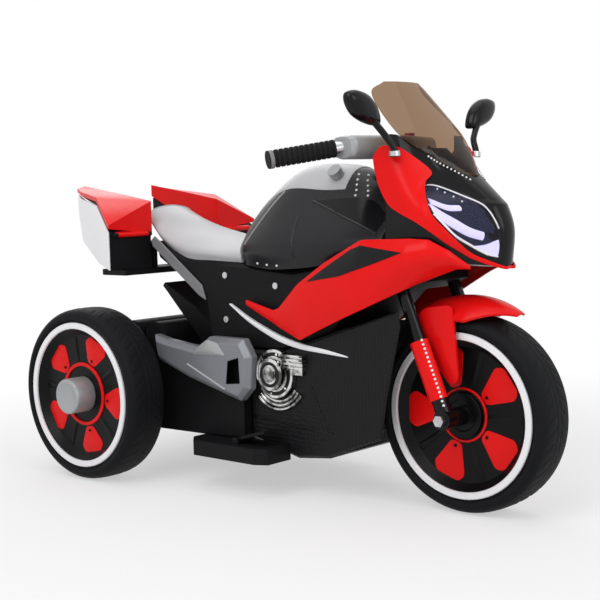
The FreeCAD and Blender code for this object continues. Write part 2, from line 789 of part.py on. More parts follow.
def side_fairing():
    """Red side panel with bosses to the body and the nose, and the window panel that fills its wedge."""
    panel = band(fairing_stations, wall)
    opening = slab(window_outline, -rear_track, 0)
    window = panel.common(slab(inset(window_outline, seam), -rear_track, 0))
    panel = panel.cut(opening).cut(nose_block(-seam, 0))
    for x, z in spread([(136, 190), (313, 232)]) + [(front_x - 42, 288)]:
        boss = across(x, z, -body_half_width - 2 * seam, -rear_track, boss_radius)
        rings = []
        for sx, ly, lz, my, mz, hy, hz in fairing_stations:
            inner = body_half_width / 2
            edge = [(inner, lz), (ly - 1, lz), (my - 1, mz), (hy - 1, hz), (inner, hz)]
            rings.append([vec(sx, -y, z) for y, z in edge])
        room = skin(rings)
        panel = panel.fuse(boss.common(room))
    return panel.removeSplitter(), window


def fairing_trim():
    """Pale strip that follows the lower edge of the red panel on the belly side."""
    upper = spread([(-125, 178), (-71, 155), (-14, 136), (46, 120), (110, 110), (189, 104), (256, 98)])
    lower = [(x, z - 9) for x, z in reversed(upper)]
    strip = slab(upper + lower, -body_half_width - wall * 2, -body_half_width - seam)
    return strip.cut(slab(belly_top + belly_front, -belly_half_width - seam, 0)).removeSplitter()


# Nose sections from the flat strip in the middle to the cheek: half width, half width of the brow, and side-view
# points ahead of the front axle, up the face to the brow and back again
nose_rows = [
    (16, 16, [(72, 247), (77, 304), (66, 342), (54, 356), (10, 396), (-60, 396), (-60, 247)]),
    (42, 42, [(41, 251), (48, 304), (37, 342), (12, 368), (-17, 411), (-63, 412), (-60, 249)]),
    (60, 60, [(23, 254), (28, 304), (17, 342), (-18, 378), (-34, 426), (-66, 428), (-60, 251)]),
    (80, 77, [(2, 258), (6, 304), (-5, 342), (-42, 381), (-58, 447), (-80, 449), (-60, 256)]),
    (100, 92, [(-34, 262), (-24, 318), (-29, 342), (-48, 372), (-76, 464), (-92, 466), (-100, 285)]),
]
brow_point = 4


def nose_block(shrink, back):
    """The nose from side to side. With a back distance it is the hollow behind the wall."""
    rings = []
    for side, rows in ((-1, reversed(nose_rows)), (1, nose_rows)):
        for low_y, brow_y, points in rows:
            shaped = inset(points, shrink) if shrink else points
            if back:
                shaped = shaped[:brow_point + 1] + [(u - back, z) for u, z in shaped[brow_point + 1:]]
            step = shrink if low_y == nose_rows[-1][0] else 0
            widths = [low_y] * brow_point + [brow_y, brow_y, low_y]
            rings.append([vec(front_x + u, side * (y - step), z) for y, (u, z) in zip(widths, shaped)])
    return skin(rings)


lens_back = 58.0
lens_outline = [(18, 259), (20, 310), (28, 346), (42, 367), (62, 383), (79, 381)]
lens_outline += [(88, 357), (87, 330), (67, 293), (48, 277), (30, 263)]


def headlight():
    """Black housing with an opening for each lens, and the lenses that fill them."""
    shell = nose_block(0, 0).cut(nose_block(wall, wall * 4))
    lenses = []
    for side in (-1, 1):
        def prism(points):
            flat = face([vec(front_x - lens_back, side * y, z) for y, z in points])
            return flat.extrude(vec(wheelbase, 0, 0))
        lenses.append(shell.common(prism(inset(lens_outline, seam))))
        shell = shell.cut(prism(lens_outline))
    return shell.removeSplitter(), lenses


# Red cowl: its face on the nose as (y, z) from the brow down to the chin and back, and its flank ahead of the
# front axle
cowl_face = [(110, 452), (94, 438), (78, 425), (65, 402), (82, 386), (92, 365), (94, 331), (83, 305), (67, 285)]
cowl_face += [(53, 269), (34, 259), (16, 250), (0, 250), (0, 240), (16, 240), (34, 250), (53, 261), (67, 273)]
cowl_face += [(82, 286), (95, 304), (110, 316)]
cowl_flank = [(-111, 426), (-107, 404), (-97, 375), (-81, 350), (-61, 337), (-31, 322), (-20, 316), (-25, 343)]
cowl_flank += [(-44, 373), (-66, 444), (-72, 449), (-96, 447)]
cowl_reach = 10.0


def nose_cowl():
    """Red cowl: a flank on each side, and a lip that wraps the nose and joins them under the chin."""
    shell = nose_block(-wall, 0).cut(nose_block(-seam, 0))
    cheek = nose_rows[-1][0]
    flank = slab([(front_x + u, z) for u, z in cowl_flank], -cheek - wall + 1, -cheek - cowl_reach)
    foot = mirror_foot_point()
    flank = flank.cut(rod(foot, foot + vec(0, 0, mirror_foot * 3), mirror_foot + 1)).fuse(mirror_seat())
    flank = flank.cut(mirror_socket())
    cowl = flank.fuse(left_of(flank))
    for side in (-1, 1):
        flat = face([vec(front_x - lens_back, side * y, z) for y, z in cowl_face])
        cowl = cowl.fuse(shell.common(flat.extrude(vec(wheelbase, 0, 0))))
    return cowl.removeSplitter()


screen_rows = [
    (394, [(17, 0), (14, 9), (8, 18)]),
    (428, [(-12, 0), (-17, 34), (-34, 61)]),
    (468, [(-46, 0), (-53, 52), (-76, 91)]),
    (534, [(-100, 0), (-108, 44), (-137, 76)]),
    (556, [(-119, 0), (-123, 30), (-134, 48)]),
]
screen_thickness = 3.0


def windscreen():
    """Smoked screen, curved across, standing on the brow of the housing."""
    rings = []
    for z, half in screen_rows:
        outer = [(u, -y) for u, y in reversed(half)] + [(u, y) for u, y in half[1:]]
        inner = [(u - screen_thickness, y) for u, y in reversed(outer)]
        rings.append([vec(front_x + u, y, z + seam) for u, y in outer + inner])
    return skin(rings).cut(nose_block(-seam, 0)).removeSplitter()


dash_half_width = 58.0
dash_outline = [(-60.3, 396), (-66.3, 428), (-84, 444), (-106, 430), (-100, 414)]
switch_radius = 5.0
switch_length = 20.0
switch_y = 30.0


def dash_points():
    return [(front_x + u, z) for u, z in dash_outline]


def switch_place():
    (ax, az), (bx, bz) = dash_points()[2:4]
    return (ax + bx) / 2, (az + bz) / 2


def dash_panel():
    """Dashboard shelf behind the screen, with a round recess for the direction switch."""
    x, z = switch_place()
    half = switch_length / 2 + seam
    recess = across(x, z, switch_y - half, switch_y + half, switch_radius + seam)
    return slab(dash_points(), -dash_half_width, dash_half_width).cut(recess).cut(nose_block(-seam, 0))


def direction_switch():
    """Rocker drum with a small lever, half sunk in the dashboard."""
    x, z = switch_place()
    drum = across(x, z, switch_y - switch_length / 2, switch_y + switch_length / 2, switch_radius)
    (ax, az), (bx, bz) = dash_points()[2:4]
    up = vec(-(az - bz), 0, ax - bx).normalize()
    lever = rod(vec(x, switch_y, z), vec(x, switch_y, z) + up * switch_radius * 2.4, switch_radius / 2)
    return drum.fuse(lever).removeSplitter()


swing_outline = spread([(-359, 112), (-306, 104), (-199, 95), (-152, 116), (-35, 116)])
swing_outline += spread([(-8, 84), (-16, 26), (-49, 2), (-234, 36), (-345, 64)])
swing_window = spread([(-82, 74), (-44, 82), (-41, 36), (-90, 32)])
swing_start = max(housing_half_width, belly_half_width) + seam


def swingarm_cover():
    """Faceted right-hand cover with its window."""
    cover = tray(swing_outline, swing_start, swing_start + swing_depth, wall, swing_bevel)
    return cover.cut(slab(swing_window, -rear_track, 0)).removeSplitter()


def engine_cover():
    """Round cover with steps and cooling fins on the right side of the belly."""
    x, z = along(35), 54
    start = -belly_half_width - seam
    cover = across(x, z, start, start - engine_depth / 2, engine_radius)
    cover = cover.fuse(across(x, z, start, start - engine_depth, engine_radius * 0.66))
    cover = cover.fuse(across(x, z, start, start - engine_depth - 4, engine_radius * 0.3))
    top = belly_floor - seam * 4
    core = [(x + 20, top - 36), (x + 64, top - 36), (x + 64, top), (x + 20, top)]
    block = slab(core, start - engine_depth * 0.35, start)
    for i in range(engine_fins):
        high = top - 7 * i
        fin = [(x + 14, high - 4), (x + 70, high - 4), (x + 70, high), (x + 14, high)]
        block = block.fuse(slab(fin, start - engine_depth * 0.6, start))
    return cover.fuse(block).removeSplitter()


bulge_x = (rear_x + 22, along(-378))
bulge_z = 105.0
housing_top = 84.0
housing_front = belly_rear - seam
housing_outline = [(rear_x - 62, -50), (rear_x - 62, 60), (rear_x - 34, housing_top)]
housing_outline += [(housing_front, housing_top), (housing_front, -66)]
housing_outline += spread([(-204, -72), (-394, -74)])
gearbox_y = housing_half_width - wall - seam - gearbox_width
motor_length = gearbox_y * motor_share


def axle_housing():
    """Housing between the rear wheels: a shell, open below, with a bulge over each motor."""
    def block(shrink):
        half, radius = housing_half_width - shrink, bulge_radius - shrink
        shape = slab(inset(housing_outline, shrink), -half, half)
        for x in bulge_x:
            shape = shape.fuse(across(x, bulge_z, -half, half, radius))
            riser = [(x - radius, 70), (x + radius, 70), (x + radius, bulge_z), (x - radius, bulge_z)]
            shape = shape.fuse(slab(riser, -half, half))
        return shape
    mouth_outline = spread([(-394, -wheel_radius), (-204, -wheel_radius), (-204, 0), (-394, 0)])
    mouth = slab(mouth_outline, -gearbox_y, gearbox_y)
    shell = block(0).cut(block(wall)).cut(mouth)
    hole = across(rear_x, 0, -rear_track, rear_track, output_radius + wall)
    return shell.cut(hole).removeSplitter()


def drive_unit():
    """Right-hand gearbox with its output boss, and the motor on its inner side."""
    half = gearbox_length / 2
    outline = [(rear_x - half / 2, -half / 2), (rear_x + half, -half / 2)]
    outline += [(rear_x + half, gearbox_height - half / 2), (bulge_x[0], bulge_z + motor_radius * 0.6)]
    outline += [(rear_x - half / 2, half * 0.8)]
    outer = gearbox_y + gearbox_width
    box = slab(outline, -outer, -gearbox_y)
    boss = across(rear_x, 0, -outer, -rear_y + rim_half + output_gap, output_radius)
    motor_z = bulge_z - bulge_radius + motor_radius + wall
    motor = across(bulge_x[0], motor_z, -gearbox_y, -gearbox_y + motor_length, motor_radius)
    unit = box.fuse(boss).fuse(motor)
    return unit.cut(across(rear_x, 0, -rear_track, 0, axle_radius + axle_clearance)).removeSplitter()


def rear_mudguard():
    """Blade that rises behind the body, on two side webs."""
    base = housing_top + seam
    half = blade_half_width
    web = spread([(-231, base), (-291, base), (-430, 186), (-446, 197)])
    web += spread([(-438, 204), (-321, 158), (-247, 112)])
    blade = spread([(-247, base), (-269, base), (-340, 140), (-446, 197), (-438, 204), (-329, 152)])
    made = slab(blade, -half, half)
    for side in (-1, 1):
        made = made.fuse(slab(web, side * (half - wall), side * half))
    return made.removeSplitter()


# Pannier sections from front to rear: inner low, inner high, outer high and outer low corner
box_sections = [
    [(92, 236), (92, 302), (196, 309), (196, 236)],
    [(92, 246), (92, 326), (159, 360), (159, 247)],
    [(92, 286), (92, 352), (131, 374), (131, 288)],
    [(92, 346), (92, 371), (108, 382), (108, 350)],
]
lid_sections = [
    [(90, 304), (90, 366), (200, 322), (200, 315)],
    [(90, 333), (90, 380), (163, 376), (163, 368)],
    [(90, 356), (90, 393), (135, 388), (135, 380)],
    [(90, 376), (90, 400), (111, 395), (111, 388)],
]
box_front, lid_front = box_sections[0], lid_sections[0]
panel_reach = 3.6
pannier_x = (pannier_front, -29.0, -110.0, -150.0)


def pannier_rings(sections, shifts):
    """Rings of (y, z) points along a pannier, with the front and the rear ring shifted."""
    rings = []
    for i, (v, section) in enumerate(zip(pannier_x, sections)):
        shift = shifts[0] if i == 0 else shifts[1] if i == len(sections) - 1 else 0
        rings.append([vec(rear_x + v + shift, -y, z) for y, z in section])
    return rings


def hinge_place():
    return rear_x + pannier_front + hinge_radius + 2, lid_front[0][1] - 1


def pannier_box():
    """Right-hand box, open on top, with two hinge knuckles and the pin."""
    outer = skin(pannier_rings(box_sections, (0, 0)))
    def inner(section, rise):
        (ay, az), (by, bz), (cy, cz), (dy, dz) = section
        t = pannier_wall
        return [(ay + t, az + t), (by + t, bz + rise), (cy - t, cz + rise), (dy - t, dz + t)]
    inside = [inner(section, 1) for section in box_sections]
    shell = outer.cut(skin(pannier_rings(inside, (-pannier_wall, pannier_wall))))
    x, z = hinge_place()
    wall_x = rear_x + pannier_front
    near, far = box_front[0][0] + hinge_margin, box_front[2][0] - hinge_margin
    pin = across(x, z, -near, -far, hinge_pin_radius)
    ears = pin
    for y in (near, far - knuckle):
        foot = [(wall_x, z - hinge_radius), (x, z - hinge_radius), (x, z), (wall_x, z)]
        ears = ears.fuse(across(x, z, -y, -y - knuckle, hinge_radius)).fuse(slab(foot, -y, -y - knuckle))
    return shell.fuse(ears).removeSplitter()


def pannier_lid():
    """Right-hand lid, hollow below, with its hinge barrel between the knuckles."""
    outer = skin(pannier_rings(lid_sections, (2, -2)))
    def inner(section):
        (ay, az), (by, bz), (cy, cz), (dy, dz) = section
        t = pannier_wall
        return [(ay + t, az - 1), (by + t, bz - t), (cy - 3 * t, cz - t / 3), (dy - 3 * t, dz - 1)]
    inside = [inner(section) for section in lid_sections]
    hollow = skin(pannier_rings(inside, (-pannier_wall, pannier_wall)))
    x, z = hinge_place()
    wall_x = rear_x + pannier_front
    room = hinge_margin + knuckle + seam
    near, far = box_front[0][0] + room, box_front[2][0] - room
    barrel = across(x, z, -near, -far, hinge_radius)
    strap = [(wall_x, z), (x, z), (x, z + hinge_radius), (wall_x, z + hinge_radius + 2)]
    barrel = barrel.fuse(slab(strap, -near, -far))
    bore = across(x, z, -near, -far, hinge_pin_radius + hinge_clearance)
    return outer.cut(hollow).fuse(barrel).cut(bore).removeSplitter()


def pannier_panel():
    """White plate on the outer side of the right-hand box."""
    def plate(section):
        (cy, cz), (dy, dz) = section[2:]
        return [(cy + seam, cz), (cy + panel_reach, cz), (dy + panel_reach, dz), (dy + seam, dz)]
    return skin(pannier_rings([plate(section) for section in box_sections], (0, 0)))


def pannier_rack():
    """Black shelf under both boxes, with uprights to the tail of the body."""
    top = box_front[0][1] - seam
    bottom = top - rack_thickness
    shelf = [(rear_x + pannier_front - 70, bottom), (rear_x + pannier_front, bottom)]
    shelf += [(rear_x + pannier_front, top), (rear_x + pannier_front - 70, top)]
    rack = slab(shelf, -box_front[2][0] + 36, box_front[2][0] - 36)
    rear_edge, front_edge = rear_x + pannier_front - 34, rear_x + pannier_front - 6
    tail = rear_x + tail_reach
    upright = [(rear_edge, bottom), (front_edge, bottom), (front_edge, 268), (tail + 30, 270)]
    upright += [(tail + 8, 280), (rear_edge - 10, 292)]
    for side in (-1, 1):
        rack = rack.fuse(slab(upright, side * 70, side * 84))
    return rack.cut(body_room()).cut(pannier_box_room()).removeSplitter()


def pannier_box_room():
    """The shelf stays below the middle of each box, whose floor rises to the rear."""
    right = skin(pannier_rings(box_sections, (seam, -seam)))
    return right.fuse(left_of(right))


def mirror_foot_point():
    return vec(front_x - 64, -mirror_half_spacing, 428)


def mirror():
    """Right-hand mirror: pin, arm, head shell and glass."""
    foot = mirror_foot_point()
    head = vec(front_x - 85, -165, 502)
    knee = vec(front_x - 74, -126, 462)
    start = foot + vec(0, 0, seam)
    arm = rod(start, start + vec(0, 0, mirror_foot), mirror_foot)
    arm = arm.fuse(rod(start + vec(0, 0, mirror_foot / 2), knee, mirror_arm_radius))
    arm = arm.fuse(Part.makeSphere(mirror_arm_radius, knee)).fuse(rod(knee, head, mirror_arm_radius))
    arm = arm.fuse(rod(foot - vec(0, 0, mirror_pin_length), start, mirror_pin_radius))
    outline = [(-36, -22), (-6, -20), (24, -8), (40, 10), (40, 26), (20, 31), (-8, 24), (-30, 4)]
    def ring(scale, x):
        return [head + vec(x, -y * scale, z * scale) for y, z in outline]
    shell = skin([ring(0.55, 13), ring(0.9, 6), ring(1, -4), ring(1, -9)])
    shell = shell.cut(skin([ring(0.88, -6), ring(0.88, -10)]))
    glass = skin([ring(0.86, -6 - seam), ring(0.86, -8)])
    return arm.fuse(shell).removeSplitter(), glass


def mirror_socket():
    """Hole in the cowl for a mirror's pin."""
    foot = mirror_foot_point()
    bottom = foot - vec(0, 0, mirror_pin_length + 1)
    return rod(bottom, foot + vec(0, 0, 1), mirror_pin_radius + mirror_clearance)


def mirror_seat():
    """Boss inside the cowl that carries a mirror's pin."""
    foot = mirror_foot_point()
    return rod(foot - vec(0, 0, mirror_pin_length), foot, mirror_foot + mirror_seat_margin)


def make_body():
    shell = body_shell()
    save("body_shell_right", shell)
    left_shell = left_of(shell)
    socket_x, socket_z = along(-150), 186
    hole = across(socket_x, socket_z, 0, body_half_width * 2, socket_radius + screw_clearance)
    save("body_shell_left", left_shell.cut(hole))
    socket = across(socket_x, socket_z, body_half_width - socket_depth, body_half_width, socket_radius)
    socket = socket.fuse(across(socket_x, socket_z, body_half_width, body_half_width + wall, socket_flange))
    bore = across(socket_x, socket_z, body_half_width - socket_depth + wall, body_half_width * 2, socket_bore)
    save("charging_socket", socket.cut(bore))
    belly = belly_fairing()
    save("belly_fairing_right", belly)
    save("belly_fairing_left", left_of(belly))
    board = footrest()
    save("footrests", board.fuse(pedal_lugs()).removeSplitter(), left_of(board))
    save("accelerator_pedal", accelerator_pedal())
    save("seat", crown(seat_stations, wall, wall))
    cover, top = tank()
    save("tank_cover", cover)
    save("tank_top_panel", top)
    save("tank_cap", tank_cap())
    rail = subframe_rail()
    save("subframe_rails", rail, left_of(rail))
    screws = [body_screw(x, z) for x, z in screw_spots]
    save("body_screws", *screws, *[left_of(s) for s in screws])
    save("steering_bushes", bush(head_bottom), bush(head_bottom + head_length - bush_length))


def make_fairings():
    panel, window = side_fairing()
    save("side_fairing_right", panel)
    save("side_fairing_left", left_of(panel))
    save("fairing_windows", window, left_of(window))
    trim = fairing_trim()
    save("fairing_trims", trim, left_of(trim))
    housing, lenses = headlight()
    save("headlight_housing", housing)
    save("headlight_lenses", *lenses)
    save("nose_cowl", nose_cowl())
    save("windscreen", windscreen())
    save("dash_panel", dash_panel())
    save("direction_switch", direction_switch())
    shell, glass = mirror()
    save("mirror_right", shell, glass)
    save("mirror_left", left_of(shell), left_of(glass))


def make_rear():
    swing = swingarm_cover()
    save("swingarm_covers", swing, left_of(swing))
    engine = engine_cover()
    save("engine_covers", engine, left_of(engine))
    save("axle_housing", axle_housing())
    unit = drive_unit()
    save("drive_units", unit, left_of(unit))
    reach = rear_y + web_face + hub_rise + nut_gap
    axle = across(rear_x, 0, -reach - nut_height, reach + nut_height, axle_radius)
    save("rear_axle", axle, nut(rear_x, -reach, -1), nut(rear_x, reach, 1))
    save("rear_mudguard", rear_mudguard())
    box = pannier_box()
    save("pannier_box_right", box)
    save("pannier_box_left", left_of(box))
    lid = pannier_lid()
    save("pannier_lid_right", lid)
    save("pannier_lid_left", left_of(lid))
    panel = pannier_panel()
    save("pannier_panels", panel, left_of(panel))
    save("pannier_rack", pannier_rack())


def make_electrics():
    floor = belly_floor + wall + seam
    corner = vec(along(-177), -battery_width / 2, floor)
    save("battery", Part.makeBox(along(205), battery_width, battery_height, corner))
    inner = body_half_width - wall - seam
    corner = vec(along(41), -inner, board_low)
    save("control_board", Part.makeBox(board_length, board_thickness, board_height, corner))


os.makedirs("parts", exist_ok=True)
make_wheels()
make_steering()
make_body()
make_fairings()
make_rear()
make_electrics()
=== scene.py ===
import json
import math

import bmesh
import bpy
import numpy as np
from mathutils import Matrix, Vector


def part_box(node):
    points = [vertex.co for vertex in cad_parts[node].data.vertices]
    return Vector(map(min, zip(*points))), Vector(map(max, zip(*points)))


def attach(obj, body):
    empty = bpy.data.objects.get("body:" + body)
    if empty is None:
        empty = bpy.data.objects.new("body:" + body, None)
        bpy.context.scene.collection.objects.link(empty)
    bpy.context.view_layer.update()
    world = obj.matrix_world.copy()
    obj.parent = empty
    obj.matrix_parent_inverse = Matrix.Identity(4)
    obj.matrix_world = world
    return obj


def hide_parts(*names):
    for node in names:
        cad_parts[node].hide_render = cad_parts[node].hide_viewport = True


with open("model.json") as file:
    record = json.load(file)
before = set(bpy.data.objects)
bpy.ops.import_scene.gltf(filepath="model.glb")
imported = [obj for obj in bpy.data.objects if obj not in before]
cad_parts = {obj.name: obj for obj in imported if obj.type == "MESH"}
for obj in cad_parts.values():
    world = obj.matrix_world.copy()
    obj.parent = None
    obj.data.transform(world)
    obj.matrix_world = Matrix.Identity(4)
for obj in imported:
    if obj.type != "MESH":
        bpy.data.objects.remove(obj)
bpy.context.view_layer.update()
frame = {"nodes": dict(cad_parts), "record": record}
cadNodes = frame["nodes"]
bodyOf = {node: body for body, members in frame["record"]["behaviour"]["bodies"].items() for node in members}
mm = 0.001

# Points are millimetres. X runs forward from the middle of the wheelbase, Y to the left,
# and Z up from axle height. Every piece is lifted to the ground frame when it is made.
axleHeight = sum(corner.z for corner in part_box("front_tyre")) / 2 / mm


def middleOf(node):
    low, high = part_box(node)
    return (np.array(low) + np.array(high)) / 2 / mm - (0, 0, axleHeight)


frontX = middleOf("front_tyre")[0]
rearX, rearY = middleOf("rear_tyre_left")[:2]
wheelbase = frontX - rearX


def along(share):  # a place along the bike, in thousandths of the wheelbase
    return wheelbase * share / 1000


# Shape helpers: a shape is its points and a list of face index arrays


def circle(count):  # even angles of one turn
    return np.linspace(0, 2 * math.pi, count, endpoint=False)


def unit(ways):  # directions brought to length 1
    return ways / np.linalg.norm(ways, axis=-1, keepdims=True)


def spread(x, y, z):  # points from coordinates that are arrays or single numbers
    return np.stack(np.broadcast_arrays(x, y, z), -1)


def through(points, count, closed=False):
    # cubic curve through control points along the first axis, with slopes from the neighbours on each side
    p = np.asarray(points, float)
    n = len(p)
    if closed:
        slope = (np.roll(p, -1, 0) - np.roll(p, 1, 0)) / 2
        t = np.linspace(0, n, count, endpoint=False)
        i = t.astype(int)
        j = (i + 1) % n
    else:
        slope = np.gradient(p, axis=0)
        t = np.linspace(0, n - 1, count)
        i = np.minimum(t.astype(int), n - 2)
        j = i + 1
    f = (t - i).reshape(-1, *[1] * (p.ndim - 1))
    rise = 3 * f ** 2 - 2 * f ** 3
    return ((1 - rise) * p[i] + rise * p[j]
            + (f ** 3 - 2 * f ** 2 + f) * slope[i] + (f ** 3 - f ** 2) * slope[j])


def patch(points, rows, across):
    # smooth grid through a grid of control points, first along it and then across
    return through(through(points, rows).transpose(1, 0, 2), across).transpose(1, 0, 2)


def straight(points, count):
    # even steps along straight runs between control points, on the first axis
    p = np.asarray(points, float)
    t = np.linspace(0, len(p) - 1, count)
    i = np.minimum(t.astype(int), len(p) - 2)
    f = (t - i).reshape(-1, *[1] * (p.ndim - 1))
    return p[i] * (1 - f) + p[i + 1] * f


def rounded(points, radius, steps=5):
    # an outline with each corner replaced by a parabola between points a radius away on both sides
    p = np.asarray(points, float)
    underHalf = 0.49                                 # two corners of a short side don't meet

    def towards(neighbour):
        way = np.roll(p, neighbour, 0) - p
        return way * np.minimum(radius / np.linalg.norm(way, axis=1, keepdims=True), underHalf)
    t = np.linspace(0, 1, steps)[:, None, None]
    curve = (1 - t) ** 2 * (p + towards(1)) + 2 * t * (1 - t) * p + t ** 2 * (p + towards(-1))
    return curve.transpose(1, 0, 2).reshape(-1, p.shape[1])


def smooth(x, low, high):  # 0 below low, 1 above high, an S curve between
    t = np.clip((x - low) / (high - low), 0, 1)
    return t * t * (3 - 2 * t)


def readRows(rows, places, place, height, axis):
    # one coordinate of a surface of rows at a height, blended between the two rows nearest to a place
    column = np.stack([np.interp(height, row[:, 2], row[:, axis]) for row in rows], -1)
    spot = np.interp(place, places, np.arange(len(rows)))
    low = np.clip(spot.astype(int), 0, len(rows) - 2)
    part = spot - low
    near, far = (np.take_along_axis(column, (low + k)[..., None], -1)[..., 0] for k in (0, 1))
    return near * (1 - part) + far * part


def gridFaces(rows, cols, wrapRows=False, wrapCols=False):
    # quads of a grid of points; a wrapped axis joins its last line to its first
    index = np.arange(rows * cols).reshape(rows, cols)
    down, right = np.roll(index, -1, 0), np.roll(index, -1, 1)
    both = np.roll(down, -1, 1)
    keep = (slice(None if wrapRows else rows - 1), slice(None if wrapCols else cols - 1))
    return np.stack([index[keep], right[keep], both[keep], down[keep]], -1).reshape(-1, 4)


def merge(*shapes):
    points, faces, start = [], [], 0
    for shapePoints, shapeFaces in shapes:
        points.append(shapePoints)
        faces += [group + start for group in shapeFaces]
        start += len(shapePoints)
    return np.concatenate(points), faces


def mirrored(shape):  # the left-hand copy of a right-hand shape
    return shape[0] * (1, -1, 1), [group[:, ::-1] for group in shape[1]]


def bothSides(shape):
    return merge(shape, mirrored(shape))


def closedSheet(outer, inner):
    # a solid between two grids of the same size, with a strip of quads round the border
    rows, cols = outer.shape[:2]
    count = rows * cols
    index = np.arange(count).reshape(rows, cols)
    border = np.concatenate([index[0, :-1], index[:-1, -1], index[-1, :0:-1], index[:0:-1, 0]])
    after = np.roll(border, -1)
    top = gridFaces(rows, cols)
    rim = np.stack([after, border, border + count, after + count], -1)
    return np.concatenate([outer.reshape(-1, 3), inner.reshape(-1, 3)]), [top, top[:, ::-1] + count, rim]


def closedLoft(rings):
    # a solid through closed rings, each end closed by a fan to the middle of its ring
    rows, cols = rings.shape[:2]
    count = rows * cols
    first = np.arange(cols)
    last = first + count - cols
    ends = np.stack([rings[0].mean(0), rings[-1].mean(0)])
    capA = np.stack([np.roll(first, -1), first, np.full(cols, count)], -1)
    capB = np.stack([last, np.roll(last, -1), np.full(cols, count + 1)], -1)
    return np.concatenate([rings.reshape(-1, 3), ends]), [gridFaces(rows, cols, wrapCols=True), capA, capB]


def lathe(profile, centre, side, steps):
    # closed (radius, offset) outline turned about the Y axis through centre, offsets outward on that side
    radius, offset = np.asarray(profile, float).T
    angle = circle(steps)[:, None]
    x, y, z = centre
    points = spread(x + radius * np.cos(angle), y + side * offset, z + radius * np.sin(angle))
    return points.reshape(-1, 3), [gridFaces(steps, len(radius), True, True)]


def ringProfile(inner, outer, foot, wall, top, chamfer):
    # section of a flat ring with its two outer edges cut off
    return [(inner, foot), (inner, wall), (inner + chamfer, top),
            (outer - chamfer, top), (outer, wall), (outer, foot)]


def tube(path, radius, sides=20):
    # circles square to a path, with one radius or a radius for each point
    path = np.asarray(path, float)
    way = unit(np.gradient(path, axis=0))
    leaning = (0.31, 0.17, 0.94) if abs(way[0, 2]) < 0.9 else (1, 0, 0)    # not along the path
    flat = unit(np.cross(way, leaning))
    rise = np.cross(way, flat)
    turn = circle(sides)[None, :, None]
    size = np.broadcast_to(radius, len(path))[:, None, None]
    return closedLoft(path[:, None] + size * (np.cos(turn) * flat[:, None] + np.sin(turn) * rise[:, None]))


def plateOn(outline, surface, high, low, rings=8, crown=0.0):
    # a thin solid on a surface: the outline drawn in to its middle, from low to high, with a crown inside
    middle = outline.mean(0)
    share = np.sin(np.linspace(0, math.pi / 2, rings + 1)[1:])[:, None]
    flat = middle + (outline - middle) * share[..., None]
    top = surface(flat, high + crown * (1 - share ** 2))
    return closedLoft(np.concatenate([top, surface(flat, low)[::-1]]))


def ribbonOn(lower, upper, surface, high, low, crown=0.0, steps=40, wide=7):
    # a thin solid on a surface between two curves, rising by crown in the middle
    share = np.linspace(0, 1, wide)[None, :, None]
    flat = through(lower, steps)[:, None] * (1 - share) + through(upper, steps)[:, None] * share
    rise = crown * 4 * share[..., 0] * (1 - share[..., 0])
    return closedSheet(surface(flat, high + rise), surface(flat, low))


def insideBy(points, outline):
    # distance of (across, up) points in from an outline, 0 outside it
    a, b = outline, np.roll(outline, -1, 0)
    run = b - a
    p = points[..., None, :]
    t = np.clip(((p - a) * run).sum(-1) / (run ** 2).sum(-1), 0, 1)[..., None]
    away = np.linalg.norm(p - a - run * t, axis=-1).min(-1)
    y, z = p[..., 0], p[..., 1]
    rising = (a[:, 1] > z) != (b[:, 1] > z)
    climb = np.where(run[:, 1] == 0, 1, run[:, 1])
    crossing = rising & (y < a[:, 0] + (z - a[:, 1]) * run[:, 0] / climb)
    return away * (crossing.sum(-1) % 2)


domeRings = [(1, -0.3), (1, 0.25), (0.8, 0.75), (0.45, 1.0)]    # shares of a bead's radius and height


def beads(spots, ways, radius, height, sides=8):
    # small domes: the same dome of rings turned to each direction and moved to each spot
    ways = unit(np.broadcast_to(ways, spots.shape))
    leaning = (0.23, 0.31, 0.92)                     # not along any of the directions
    flat = unit(np.cross(ways, leaning))
    rise = np.cross(ways, flat)
    turn = circle(sides)
    wide, tall = np.array(domeRings).T[..., None]
    across, up, out = (grid.ravel()[None, :, None] for grid in (
        wide * np.cos(turn) * radius, wide * np.sin(turn) * radius, (tall + 0 * turn) * height))
    points = spots[:, None] + across * flat[:, None] + up * rise[:, None] + out * ways[:, None]
    return merge(*[closedLoft(dome.reshape(len(domeRings), sides, 3)) for dome in points])


# Shader helpers


class Wire:  # one shader socket; sums on it add Math nodes
    def __init__(self, finish, socket):
        self.finish = finish
        self.socket = socket

    def maths(self, operation, first, second):
        return self.finish.node("ShaderNodeMath", {"operation": operation}, {0: first, 1: second})

    def __add__(self, other):
        return self.maths("ADD", self, other)

    def __radd__(self, other):
        return self.maths("ADD", other, self)

    def __sub__(self, other):
        return self.maths("SUBTRACT", self, other)

    def __rsub__(self, other):
        return self.maths("SUBTRACT", other, self)

    def __mul__(self, other):
        return self.maths("MULTIPLY", self, other)

    def __rmul__(self, other):
        return self.maths("MULTIPLY", other, self)

    def __lt__(self, other):
        return self.maths("LESS_THAN", self, other)

    def __pow__(self, other):
        return self.maths("POWER", self, other)


